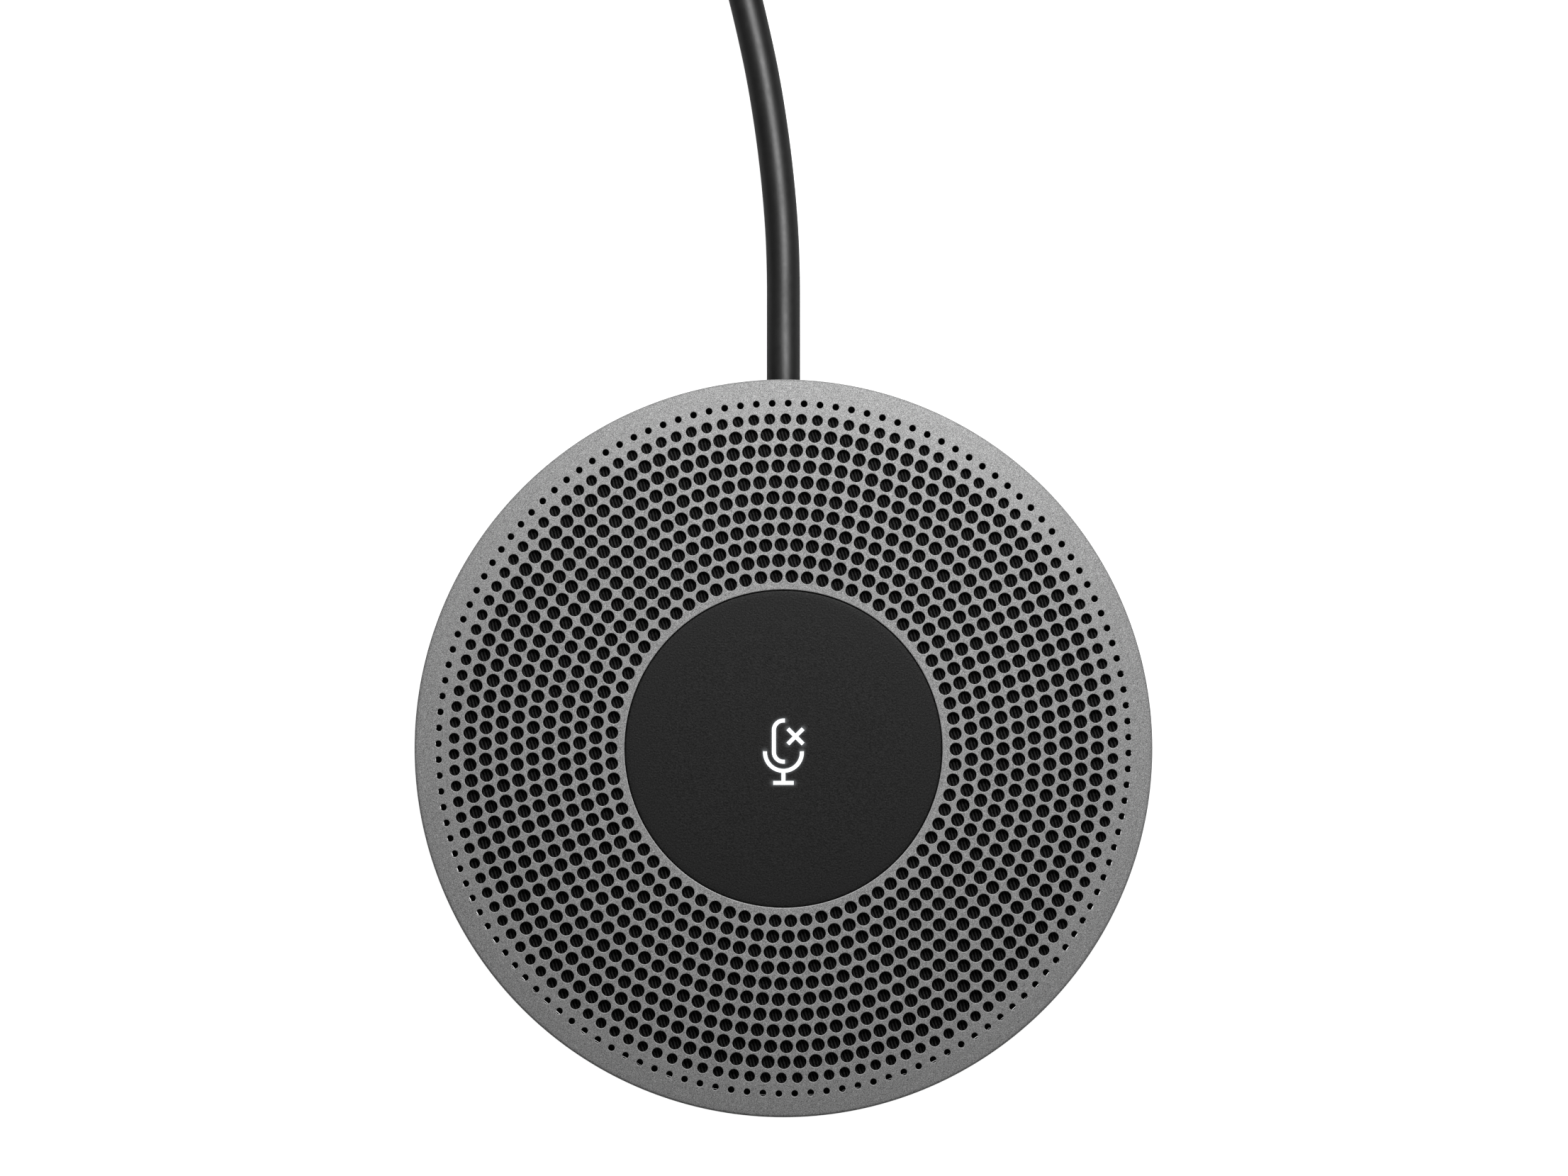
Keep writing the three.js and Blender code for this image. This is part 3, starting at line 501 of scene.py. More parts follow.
def strap_pile():
    """Brushed nylon loop pile."""
    s = Surface("tie_strap", Specular_IOR_Level=0.2, Sheen_Weight=0.12, Sheen_Roughness=0.5)
    s.colour(s.noise(0.35, 4.0, 0.7), shades(0.009, 0.5))
    s.rough(s.noise(0.5), 0.82, 0.95)
    s.bump(s.cells(0.35), 0.12, 0.7)
    s.bump(s.noise(0.12, 3.0, seed=3.0), 0.04)
    return s.material


def solder_mask():
    """A green board with tracks under its lacquer."""
    s = Surface("circuit_board", Specular_IOR_Level=0.6)
    tracks = s.maths(
        "MULTIPLY",
        s.bands(1.3, s.stretched(turn=(0, 0, 30)), "TRI", 9.0),
        s.bands(1.1, s.stretched(turn=(0, 0, 120)), "TRI", 7.0),
    )
    bare, track, lit = (0.008, 0.055, 0.026), (0.014, 0.11, 0.05), (0.02, 0.15, 0.07)
    s.colour(tracks, [(0.30, bare), (0.42, track), (0.9, lit)])
    s.rough(s.noise(1.5), 0.30, 0.42)
    s.bump(tracks, 0.03, 0.5)
    return s.material


def winding():
    s = Surface("copper_winding", metallic=1.0)
    turns = s.bands(0.16, s.stretched(turn=(0, 90, 0)))
    s.colour(turns, [(0.1, (0.20, 0.07, 0.03)), (0.8, (0.62, 0.26, 0.12))])
    s.rough(s.noise(0.8), 0.28, 0.40)
    s.bump(turns, 0.06)
    return s.material


def cone_paper():
    s = Surface("cone_paper", Specular_IOR_Level=0.3)
    fibres = s.noise(0.35, 4.0, 0.7, at=s.stretched((1.0, 0.25, 1.0), (0, 0, 40)))
    s.colour(fibres, shades(0.022, 0.5))
    s.rough(fibres, 0.8, 0.95)
    s.bump(fibres, 0.05)
    return s.material


def foam():
    s = Surface("gasket_foam")
    pores = s.cells(0.5)
    s.colour(pores, [(0.1, 0.004), (0.6, 0.030)])
    s.rough(pores, 0.88, 0.98)
    s.bump(pores, 0.2)
    return s.material


def brushed(name, colour, roughness, turn):
    """Metal with fine marks along one direction."""
    s = Surface(name, metallic=1.0)
    marks = s.noise(0.22, 3.0, 0.65, at=s.stretched((1.0, 0.06, 1.0), (0, 0, turn)))
    s.colour(marks, shades(colour, 0.14))
    s.rough(marks, roughness - 0.06, roughness + 0.08)
    s.bump(marks, 0.006)
    return s.material


# Linear colour, roughness, size and depth of the grain in mm, spread of colour, metallic.
MOULDED = {
    "black_plastic": (0.016, 0.52, 0.30, 0.012),
    "plug_plastic": (0.015, 0.46, 0.26, 0.010),
    "foot_rubber": (0.011, 0.78, 0.45, 0.012, 0.25),
    "soft_rubber": (0.013, 0.70, 0.5, 0.012, 0.2),
    "thin_lead": (0.020, 0.45, 0.4, 0.004, 0.2),
    "chip_resin": (0.010, 0.48, 0.18, 0.008, 0.2),
    "ivory_plastic": ((0.50, 0.47, 0.40), 0.42, 0.4, 0.006, 0.05),
    "flex_film": ((0.42, 0.16, 0.03), 0.35, 0.8, 0.004, 0.15),
    "ballast_steel": (0.46, 0.42, 0.5, 0.010, 0.14, 1.0),
    "magnet_metal": (0.16, 0.38, 0.4, 0.012, 0.2, 1.0),
    "black_steel": (0.05, 0.40, 0.2, 0.006, 0.2, 0.9),
}
# Linear colour, roughness, turn of the marks in degrees.
BRUSHED = {
    "plain_steel": (0.50, 0.34, 25.0),
    "bright_can": (0.62, 0.28, 70.0),
    "plug_metal": (0.60, 0.24, 90.0),
    "contact_gold": ((0.72, 0.47, 0.16), 0.26, 90.0),
}
SILICONE = (0.30, 0.30, 0.29)
MATERIALS = {
    "satin_cover": satin_cover(),
    "soft_touch_key": key_coat(),
    "lit_sign": lit_sign(),
    "acoustic_cloth": grille_cloth(),
    "cord_jacket": cord_jacket(),
    "tie_strap": strap_pile(),
    "circuit_board": solder_mask(),
    "copper_winding": winding(),
    "cone_paper": cone_paper(),
    "gasket_foam": foam(),
    "silicone": moulded("silicone", SILICONE, 0.50, 0.6, 0.006, 0.08, Subsurface_Weight=0.05),
}
MATERIALS.update({name: moulded(name, *values) for name, values in MOULDED.items()})
MATERIALS.update({name: brushed(name, *values) for name, values in BRUSHED.items()})

# ---------------------------------------------------------------- the lead

CORD_D = 3.8
CORD_R = CORD_D / 2
EXIT = (0.0, 41.3, 4.6)
COIL_MIDDLE = (20.9, 121.0)
COLUMNS = (16.725, 20.575, 24.425, 28.275)
ROWS = (2.4, 6.25, 10.1)
TOP_R = 21.5
TOP_Z = 14.2
PLUG_Z = 16.3
BEND_R = 14.0
PLUG_X, PLUG_Y = 2.08, 115.25
TIE_ANGLE, TIE_THICK, TIE_WIDE = 255, 0.45, 8.0

# From the housing to the coil.
LEAD_ROUTE = [
    (0, 40.7, 4.6), (0, 41.6, 4.6), (0, 45.5, 4.5), (0, 49.5, 3.75), (-0.02, 54, 2.6),
    (-0.2, 59, 2), (-0.7, 65, 1.92), (-1.45, 71, 1.92), (-2.45, 77, 1.92), (-3.75, 83, 1.92),
    (-5.2, 89, 1.95), (-6.4, 95, 2.1), (-7.1, 100.5, 2.3), (-7.35, 104.6, 2.4),
    (-7.375, 112.0, 2.4), (-7.375, 119.0, 2.4),
]

# Steps between neighbouring turns, as degrees of travel since the lead met the coil, with what
# they change: "r" moves a column, "z" a row. The winding runs clockwise.
STEPS = (
    [(308 + 360 * k, 352 + 360 * k, "r", -1) for k in range(3)]
    + [(1330, 1388, "z", 1)]
    + [(1646 + 360 * k, 1690 + 360 * k, "r", 1) for k in range(3)]
    + [(2686, 2726, "z", 1)]
    + [(3002 + 360 * k, 3046 + 360 * k, "r", -1) for k in range(3)]
)
FINAL_CLIMB = (4024.0, 4082.0)
TRAVEL = 4270.0
TURN_STEP = 6.0


def eased(value, start, end):
    """0 before start, 1 after end, with a smooth rise between them."""
    share = min(1.0, max(0.0, (value - start) / (end - start)))
    return 0.5 - 0.5 * math.cos(math.pi * share)


def winding_points():
    made = []
    for k in range(int(TRAVEL / TURN_STEP) + 1):
        travel = min(TRAVEL, k * TURN_STEP)
        radius, z = COLUMNS[3], ROWS[0]
        for start, end, kind, sign in STEPS:
            share = sign * eased(travel, start, end)
            if kind == "r":
                radius += share * (COLUMNS[1] - COLUMNS[0])
            else:
                z += share * (ROWS[1] - ROWS[0])
        z += (TOP_Z - ROWS[2]) * eased(travel, *FINAL_CLIMB)
        radius += (TOP_R - COLUMNS[0]) * eased(travel, FINAL_CLIMB[1] - 20, TRAVEL - 60)
        x, y = on_ring(radius, 180 - travel)
        made.append((COIL_MIDDLE[0] + x, COIL_MIDDLE[1] + y, z))
    return made


def bend_points():
    """From the top turn round to the plug's axis, rising to the plug's height."""
    made = []
    for k in range(1, 11):
        share = k / 10
        x, y = on_ring(BEND_R, 230 - 50 * share)
        rise = eased(share, 0.0, 1.0)
        made.append((PLUG_X + BEND_R + x, PLUG_Y + y, TOP_Z + (PLUG_Z - TOP_Z) * rise))
    return made


cord_path = (
    smooth_route(LEAD_ROUTE, 1.5)
    + winding_points()
    + bend_points()
    + [(PLUG_X, PLUG_Y + 1.0, PLUG_Z), (PLUG_X, PLUG_Y + 2.0, PLUG_Z)]
)
lead_cord = add_piece(
    "lead_cord",
    mesh_from("lead_cord", *tube(cord_path, CORD_R, 16), sharp=50),
    "cord_jacket",
    ("cable_run", "cable_coil", "cable_end"),
)


def lead_boot():
    """The rubber boot round the lead: a neck through the wall and a tapered mouth."""
    outline = [
        (CORD_R + 0.02, 36.2),
        (2.2, 36.2), (2.2, 38.3), (2.32, 38.45), (2.34, 38.9), (2.26, 39.6), (2.18, 40.3),
        (2.11, 40.95),
        *arc(1.93, 41.12, 0.17, 20, 90, 4),
        (CORD_R + 0.03, 41.2),
        (CORD_R + 0.02, 40.9),
    ]
    return turned(outline, 48, along_y=(0.0, EXIT[2]))


# ---------------------------------------------------------------- the plug and the tie


def plug_brick(name, x, y, z, bevel, steps=3):
    """A box with rounded edges at the plug; x, y and z are its low and high sides from there."""
    sides = (PLUG_X, x), (PLUG_Y, y), (PLUG_Z, z)
    return brick(name, [o + s[0] for o, s in sides], [o + s[1] for o, s in sides], bevel, steps)


def plug_section(points, y, wide=1.0, tall=1.0):
    """(u, v) points placed across the plug's axis, y mm along it."""
    return [(PLUG_X - u * wide, y, PLUG_Z + v * tall) for u, v in points]


def plug_neck():
    """The ribbed relief at the back of the plug."""
    outline = [(0.0, 0.0), (2.1, 0.0), (2.3, 0.2)]
    for k in range(4):
        y = 1.3 + 1.75 * k
        r = 2.3 + 0.2 * (k + 1)
        outline += [(r, y - 0.15), (r - 0.45, y), (r - 0.45, y + 0.55), (r, y + 0.7)]
    outline += [(3.2, 8.0), (3.2, 8.7), (0.0, 8.7)]
    return turned([(r, PLUG_Y + y) for r, y in outline], 48, along_y=(PLUG_X, PLUG_Z))


def plug_grip():
    """The moulded body: rounded ends and a shallow waist to hold it by."""
    # How far along, with the shares of the full width and height there.
    rows = [
        (9.0, 0.62, 0.70), (9.2, 0.78, 0.82), (9.8, 0.91, 0.92), (11.2, 0.985, 0.975),
        (13.5, 1.0, 1.0), (16.0, 0.975, 0.96), (19.5, 0.955, 0.93), (23.0, 0.975, 0.96),
        (25.5, 1.0, 1.0), (28.6, 1.0, 1.0), (29.6, 0.985, 0.97), (30.0, 0.95, 0.92),
    ]
    half_w, half_h, corner = 7.8, 4.0, 2.4
    sections = []
    for along, wide, tall in rows:
        section = rounded_section(half_w * wide, half_h * tall, corner * tall)
        sections.append(plug_section(section, PLUG_Y + along))
    body = mesh_from("plug_grip", *loft(sections))
    cutters = [plug_brick("mouth", (-6.15, 6.15), (27.2, 31.0), (-2.4, 2.4), 0.25)]
    for z in (half_h, -half_h):
        for k in range(5):
            y = 16.2 + 1.7 * k
            cutters.append(
                plug_brick("groove", (-4.4, 4.4), (y - 0.35, y + 0.35), (z - 0.62, z + 0.62), 0.3)
            )
    return carve(body, cutters)


def plug_sleeve():
    """The folded metal sleeve, with its four windows and the seam underneath."""
    start, end = PLUG_Y + 27.3, PLUG_Y + 42.0
    section = rounded_section(6.0, 2.25, 0.55, 4)
    sections = [plug_section(section, y) for y in (start, end - 0.12)]
    sections.append(plug_section(section, end, 0.985, 0.96))
    outer = mesh_from("plug_sleeve", *loft(sections))
    inner = rounded_section(5.65, 1.9, 0.3, 3)
    bore = mesh_from("bore", *loft([plug_section(inner, y) for y in (start - 1, end + 1)]))
    windows = [
        plug_brick("window", (at - 1.2, at + 1.2), (34.6, 37.0), z, 0.2)
        for at in (-2.9, 2.9)
        for z in ((0.5, 5.0), (-5.0, -0.5))
    ]
    seam = plug_brick("seam", (-0.05, 0.05), (26.3, 43.0), (-5.0, -1.5), 0)
    return carve(outer, [bore, *windows, seam])


def plug_insert():
    """The flat tongue that carries the contacts, joined to the block behind it."""
    tongue = plug_brick("plug_insert", (-5.4, 5.4), (29.9, 41.4), (0.05, 1.7), 0.15)
    block = plug_brick("block", (-5.4, 5.4), (27.3, 30.3), (-1.6, 1.6), 0.1)
    return carve(tongue, [block], "UNION")


def tie_loop():
    """The inside of the strap round the coil, as a closed loop of (r, z) points."""
    # Each corner's place, and the radius that rounds it.
    inner = [
        (13.95, 0.5, 1.6), (30.45, 0.5, 1.6), (30.45, 12.2, 1.5), (24.0, 16.45, 1.6),
        (18.95, 16.45, 1.6), (13.95, 12.2, 1.5),
    ]
    made = []
    n = len(inner)
    for i in range(n):
        corner = np.array(inner[i][:2])
        before = np.array(inner[i - 1][:2]) - corner
        after = np.array(inner[(i + 1) % n][:2]) - corner
        before /= np.linalg.norm(before)
        after /= np.linalg.norm(after)
        half = math.acos(max(-1.0, min(1.0, before.dot(after)))) / 2
        radius = inner[i][2]
        to_centre = (before + after) / np.linalg.norm(before + after)
        centre = corner + to_centre * radius / math.sin(half)
        first = corner + before * radius / math.tan(half) - centre
        last = corner + after * radius / math.tan(half) - centre
        sweep = math.pi - 2 * half
        for k in range(7):
            s = k / 6
            v = first * math.sin((1 - s) * sweep) + last * math.sin(s * sweep)
            made.append(centre + v / np.linalg.norm(v) * radius)
    return np.array(made)


def strap(loop, thickness, width):
    """A flat strap along a closed loop of (r, z) points at the tie's place, outside that loop."""
    tangent = np.roll(loop, -1, axis=0) - np.roll(loop, 1, axis=0)
    tangent /= np.linalg.norm(tangent, axis=1)[:, None]
    outward = np.stack([tangent[:, 1], -tangent[:, 0]], axis=1)
    edge = 0.16
    inset = 0.5 - edge / width
    # Share of the width across, and height above the loop.
    profile = [
        (-0.5, edge),
        (-0.5, thickness - edge),
        (-inset, thickness),
        (inset, thickness),
        (0.5, thickness - edge),
        (0.5, edge),
        (inset, 0.0),
        (-inset, 0.0),
    ]
    ux, uy = on_ring(1.0, TIE_ANGLE)
    middle_x, middle_y = COIL_MIDDLE
    sections = []
    for p, o in zip(loop, outward):
        section = []
        for across, lift in profile:
            r, z = p + o * lift
            side = across * width
            section.append((middle_x + r * ux - side * uy, middle_y + r * uy + side * ux, z))
        sections.append(section)
    return loft(sections, around=True)


on_lead = [
    add_piece(name, mesh, finish, (hidden,))
    for name, mesh, finish, hidden in (
        ("plug_neck", mesh_from("plug_neck", *plug_neck()), "cord_jacket", "plug_relief"),
        ("plug_grip", plug_grip(), "plug_plastic", "plug_body"),
        ("plug_sleeve", plug_sleeve(), "plug_metal", "plug_shell"),
        ("plug_insert", plug_insert(), "ivory_plastic", "plug_tongue"),
    )
]
for k, at in enumerate((-3.5, -1.0, 1.0, 3.5)):
    name = f"plug_contact_{k + 1}"
    tip = 39.7 if abs(at) < 2 else 40.6
    contact = plug_brick(name, (at - 0.5, at + 0.5), (31.5, tip), (-0.07, 0.12), 0.06, 2)
    on_lead.append(add_piece(name, contact, "contact_gold"))
tie_mesh = mesh_from("tie_band", *strap(tie_loop(), TIE_THICK, TIE_WIDE), sharp=60)
on_lead.append(add_piece("tie_band", tie_mesh, "tie_strap", ("coil_tie",)))
boot_mesh = mesh_from("lead_boot", *lead_boot())
add_piece("lead_boot", boot_mesh, "soft_rubber", ("strain_relief",))

# ---------------------------------------------------------------- the perforated cover

HOUSING_R = 41.5
KEY_HOLE_R = 17.87
KEY_HOLE_BEVEL = 0.07
COVER_WALL = 0.6
CLOTH_GAP = 0.1
EDGE_R = 0.4
RIM_R = HOUSING_R - EDGE_R
HOLE_RINGS = 12
FIRST_RING_R = 19.355
RING_PITCH = 1.768
HOLE_R = [0.725] + [0.757] * 9 + [0.62, 0.39]
HOLE_SIDES = [24] * 10 + [20, 16]
FIRST_RING_HOLES, MORE_HOLES = 70, 6
FIRST_RING_TURN, TURN_PER_RING = 0.467, 0.16
CHAMFER = 0.045
TOP_HEIGHT = 21.0
CROWN_SQUARE, CROWN_SIXTH = 0.9, 1.2


def crown_drop(r):
    share = r / HOUSING_R
    return CROWN_SQUARE * share**2 + CROWN_SIXTH * share**6


def crown(r):
    """Height of the domed top, which is highest at the key's opening."""
    return TOP_HEIGHT - crown_drop(r) + crown_drop(KEY_HOLE_R)


def crown_slope(r):
    return -(2 * CROWN_SQUARE * r / HOUSING_R**2 + 6 * CROWN_SIXTH * r**5 / HOUSING_R**6)


def underside(r):
    """Height of the cover's inside, which is thicker towards the rim."""
    return crown(r) - COVER_WALL - np.maximum(0.0, (r - 38.6) / 1.1) * 1.2


# Labels of the cover's two edges, beside the holes' own numbers.
INNER_EDGE, OUTER_EDGE = -1, -2


def hole_places():
    """Middle, radius and number of sides of every hole, ring by ring."""
    made = []
    for i in range(HOLE_RINGS):
        count = FIRST_RING_HOLES + MORE_HOLES * i
        ring_r = FIRST_RING_R + RING_PITCH * i
        for k in range(count):
            turn = k + FIRST_RING_TURN - TURN_PER_RING * i
            x, y = on_ring(ring_r, 90 + turn * 360 / count)
            made.append((x, y, HOLE_R[i], HOLE_SIDES[i]))
    return made


def triangulated(flat, edges, faces=()):
    """Constrained Delaunay: output points, triangles and each triangle's input faces."""
    verts, _, tris, origin, _, inside = delaunay_2d_cdt(
        [Vector(p) for p in flat], edges, list(faces), 0, 1e-6, True
    )
    return verts, tris, origin, inside


def loop_edges(start, count):
    return [(start + i, start + (i + 1) % count) for i in range(count)]


def top_cover():
    """The cover as one closed mesh: the dome with its holes, the rim, the skirt and the inside."""
    inner_count, outer_count = 180, 288
    inner_top_r, outer_top_r, outer_low_r = KEY_HOLE_R + KEY_HOLE_BEVEL, 39.7, 39.45
    holes = hole_places()
    flat, group, edges, spokes = [], [], [], []
    loops = [(x, y, r + CHAMFER, sides, 0.5, g) for g, (x, y, r, sides) in enumerate(holes)]
    loops.append((0.0, 0.0, inner_top_r, inner_count, 0.0, INNER_EDGE))
    loops.append((0.0, 0.0, outer_top_r, outer_count, 0.0, OUTER_EDGE))
    for x, y, r, sides, turn, label in loops:
        start = len(flat)
        edges += loop_edges(start, sides)
        for s in range(sides):
            a = 2 * math.pi * (s + turn) / sides
            flat.append((x + r * math.cos(a), y + r * math.sin(a)))
            spokes.append((math.cos(a), math.sin(a)))
            group.append(label)
    _, tris, origin, _ = triangulated(flat, edges)
    back = [o[0] for o in origin]
    tris = [[back[i] for i in t] for t in tris]
    group = np.array(group)
    # A triangle with all its corners on one hole, or on the key's opening, fills it.
    filling = [len(set(group[t])) == 1 and group[t[0]] != OUTER_EDGE for t in tris]
    keep = [t for t, fills in zip(tris, filling) if not fills]

    flat, spokes = np.array(flat), np.array(spokes)
    count = len(flat)
    reach = np.hypot(flat[:, 0], flat[:, 1])
    slope = crown_slope(reach)
    radial = flat / reach[:, None]
    dome = np.column_stack([-slope * radial[:, 0], -slope * radial[:, 1], np.ones(count)])
    dome /= np.linalg.norm(dome, axis=1)[:, None]
    is_hole = group >= 0

    # Below each point of a hole's outline: the foot of its chamfer, then the foot of its wall.
    low_flat = flat.copy()
    low_flat[is_hole] -= spokes[is_hole] * CHAMFER
    low_flat[group == INNER_EDGE] *= KEY_HOLE_R / inner_top_r
    low_flat[group == OUTER_EDGE] *= outer_low_r / outer_top_r
    low_reach = np.hypot(low_flat[:, 0], low_flat[:, 1])
    top = np.column_stack([flat, crown(reach)])
    chamfer = np.column_stack([low_flat, crown(low_reach) - CHAMFER])
    chamfer[group == INNER_EDGE, 2] = crown(KEY_HOLE_R) - KEY_HOLE_BEVEL
    foot = np.column_stack([low_flat, underside(low_reach)])
    verts = [top, chamfer, foot]

    # bare holds each face's painted highlight, passed to face() as edge: 1.0 on the slope round
    # each hole, 0.0 elsewhere.
    faces, normals, bare = [], [], []

    def face(corners, corner_normals, edge=0.0):
        faces.append(corners)
        normals.extend(corner_normals)
        bare.append(edge)

    for a, b, c in keep:
        face((a, b, c), (dome[a], dome[b], dome[c]))
        a2, b2, c2 = a + 2 * count, b + 2 * count, c + 2 * count
        face((c2, b2, a2), (-dome[c], -dome[b], -dome[a]))
    bevel = math.sqrt(0.5)
    slant = np.column_stack([-spokes * bevel, np.full(count, bevel)])
    level = np.column_stack([-spokes, np.zeros(count)])
    for i, j in edges:
        if group[i] == OUTER_EDGE:
            continue
        i2, j2, i3, j3 = i + count, j + count, i + 2 * count, j + 2 * count
        # The chamfer faces get 1.0 for the painted highlight.
        face((i, j, j2, i2), (slant[i], slant[j], slant[j], slant[i]), 1.0)
        face((i2, j2, j3, i3), (level[i], level[j], level[j], level[i]))

    # The rim, the skirt and the inside, turned from the dome's outer edge to the underside's.
    rim_z = crown(RIM_R) - EDGE_R
    lean = math.degrees(math.atan(crown_slope(RIM_R)))
    profile = [(r, float(crown(r))) for r in (40.1, 40.5, 40.8)]
    profile += arc(RIM_R, rim_z, EDGE_R, 90 + lean, 0, 7)
    profile += [(41.3, 15.0), (41.06, 10.5), (40.9, 7.5)]
    profile += arc(40.6, 7.5, 0.3, 0, -90, 4)[1:]
    profile += [(39.9, 7.2), (39.7, 7.4), (39.7, float(crown(39.7)) - 1.8)]
    # The outer edge's loop was made last, so start is its first point.
    ring_ids = [[start + s for s in range(outer_count)]]
    extra = []
    for r, z in profile:
        ring_ids.append([3 * count + len(extra) + s for s in range(outer_count)])
        extra += level_ring(r, z, outer_count)
    ring_ids.append([start + 2 * count + s for s in range(outer_count)])
    verts.append(np.array(extra))
    line = [(outer_top_r, float(crown(outer_top_r)))] + profile
    line.append((outer_low_r, float(underside(outer_low_r))))
    steps = [np.array((b[1] - a[1], a[0] - b[0])) for a, b in zip(line, line[1:])]
    steps = [-s / np.linalg.norm(s) for s in steps]
    for k in range(len(line) - 1):
        ends = []
        for near, other in ((k, k - 1), (k + 1, k + 1)):
            n = steps[k]
            if 0 <= other < len(steps) and steps[other].dot(n) > 0.8:
                n = n + steps[other]
                n = n / np.linalg.norm(n)
            if near == 0:
                tilt = math.atan(-float(crown_slope(outer_top_r)))
                n = np.array((math.sin(tilt), math.cos(tilt)))
            ends.append(n)
        upper, lower = ring_ids[k], ring_ids[k + 1]
        for s in range(outer_count):
            t = (s + 1) % outer_count
            corners = (upper[s], lower[s], lower[t], upper[t])
            made = []
            for at, n in ((s, ends[0]), (s, ends[1]), (t, ends[1]), (t, ends[0])):
                a = 2 * math.pi * at / outer_count
                made.append(np.array((n[0] * math.cos(a), n[0] * math.sin(a), n[1])))
            face(corners, made)

    mesh = bpy.data.meshes.new("cover_grille")
    mesh.from_pydata((np.vstack(verts) * MM).tolist(), [], faces)
    # Painted highlight: the colour is brighter on the narrow slope round each hole.
    mesh.attributes.new("chamfer_highlight", "FLOAT", "FACE").data.foreach_set("value", bare)
    # Chamfer points of the outer edge are on no face.
    drop_loose(mesh)
    mesh.shade_smooth()
    mesh.normals_split_custom_set([tuple(n) for n in normals])
    return mesh


add_piece("cover_grille", top_cover(), "satin_cover", ("top_cover",))


CLOTH_IN_R, CLOTH_OUT_R, CLOTH_THICK = 18.55, 38.3, 0.3


def cloth_under_cover():
    """The black cloth stretched under the holes."""
    across = np.linspace(CLOTH_IN_R, CLOTH_OUT_R, 14)
    upper = [(r, float(crown(r)) - COVER_WALL - CLOTH_GAP) for r in across]
    return turned([(r, z - CLOTH_THICK) for r, z in upper] + upper[::-1], 144)


cloth_mesh = mesh_from("grille_cloth", *cloth_under_cover())
add_piece("grille_cloth", cloth_mesh, "acoustic_cloth", ("acoustic_cloth",))

# ---------------------------------------------------------------- the key and its lit sign

SIGN_HALF = 0.22
CAPSULE = {"x": 1.075, "top": 3.17, "bottom": -1.45, "open": 0.16}
CRADLE = {"y": -0.41, "radius": 2.07, "overrun": 3.3}
FOOT = {"y": -3.83, "half": 1.14}
CROSS = {"x": 1.35, "y": 1.39, "arm": 0.85}
# Strength, fade and reach in mm of the painted glow on the coat round the sign.
GLOW, GLOW_FADE, GLOW_REACH = 0.10, 0.10, 1.2


def key_top(r):
    """Height of the key's crowned face, which turns down a little at its edge."""
    return 20.97 - 0.065 * (r / 13.0) ** 2 - 0.02 * (r / 17.37) ** 8


def capsule_side(radius):
    upper = arc(0, CAPSULE["top"] - CAPSULE["x"], radius, 90, 180, 16)
    lower = arc(0, CAPSULE["bottom"] + CAPSULE["x"], radius, 180, 270, 16)
    return [(CAPSULE["open"], upper[0][1])] + upper + lower + [(CAPSULE["open"], lower[-1][1])]


def cradle_side(radius):
    return arc(0, CRADLE["y"], radius, 180 - CRADLE["overrun"], 360 + CRADLE["overrun"], 40)


def sign_lines():
    """The middle lines of the sign's strokes."""
    arm = CROSS["arm"]
    x, y = CROSS["x"], CROSS["y"]
    return [
        capsule_side(CAPSULE["x"]),
        cradle_side(CRADLE["radius"]),
        [(0, CRADLE["y"] - CRADLE["radius"]), (0, FOOT["y"])],
        [(-FOOT["half"], FOOT["y"]), (FOOT["half"], FOOT["y"])],
        [(x - arm, y - arm), (x + arm, y + arm)],
        [(x - arm, y + arm), (x + arm, y - arm)],
    ]


def bar_shape(a, b, half):
    a, b = np.array(a, float), np.array(b, float)
    d = (b - a) / np.linalg.norm(b - a)
    n = np.array((-d[1], d[0])) * half
    return [tuple(a - n), tuple(b - n), tuple(b + n), tuple(a + n)]


def sign_shapes(half):
    """The outline of each stroke."""
    capsule = capsule_side(CAPSULE["x"] + half) + capsule_side(CAPSULE["x"] - half)[::-1]
    cradle = cradle_side(CRADLE["radius"] + half) + cradle_side(CRADLE["radius"] - half)[::-1]
    return [capsule, cradle] + [bar_shape(a, b, half) for a, b in sign_lines()[2:]]


def glow_at(points):
    """How far each point is from the nearest stroke's middle line."""
    best = np.full(len(points), 1e9)
    for line in sign_lines():
        for a, b in zip(line, line[1:]):
            a, b = np.array(a, float), np.array(b, float)
            d = b - a
            t = np.clip(((points - a) @ d) / d.dot(d), 0, 1)
            near = a + t[:, None] * d
            best = np.minimum(best, np.hypot(*(points - near).T))
    return best


def flat_sign(circle_r, circle_count, dense):
    """Triangles over a disc, told apart by whether they lie in the sign. dense adds points round
    the sign, where the glow fades, and in rings out to the edge."""
    flat, edges, faces = [], [], []
    for shape in sign_shapes(SIGN_HALF):
        start = len(flat)
        flat += shape
        faces.append(list(range(start, len(flat))))
    start = len(flat)
    flat += [on_ring(circle_r, 360 * s / circle_count) for s in range(circle_count)]
    edges += loop_edges(start, circle_count)
    if dense:
        for radius in np.arange(6.5, circle_r - 0.5, 1.5):
            n = int(radius * 4)
            flat += [on_ring(radius, 360 * (s + 0.37) / n) for s in range(n)]
        xs, ys = np.meshgrid(np.arange(-3.2, 3.3, 0.16), np.arange(-4.9, 4.2, 0.16))
        grid = np.column_stack([xs.ravel(), ys.ravel()])
        away = glow_at(grid)
        flat += [tuple(p) for p in grid[(away > SIGN_HALF + 0.06) & (away < 1.1)]]
    verts, tris, _, inside = triangulated(flat, edges, faces)
    verts = np.array([tuple(v) for v in verts])
    return verts, [tuple(t) for t in tris], [len(f) > 0 for f in inside]


def walls_of(tris):
    """The edges that only one triangle has, turned the way that triangle turns."""
    edges = dict.fromkeys(e for a, b, c in tris for e in ((a, b), (b, c), (c, a)))
    return [(a, b) for a, b in edges if (b, a) not in edges]


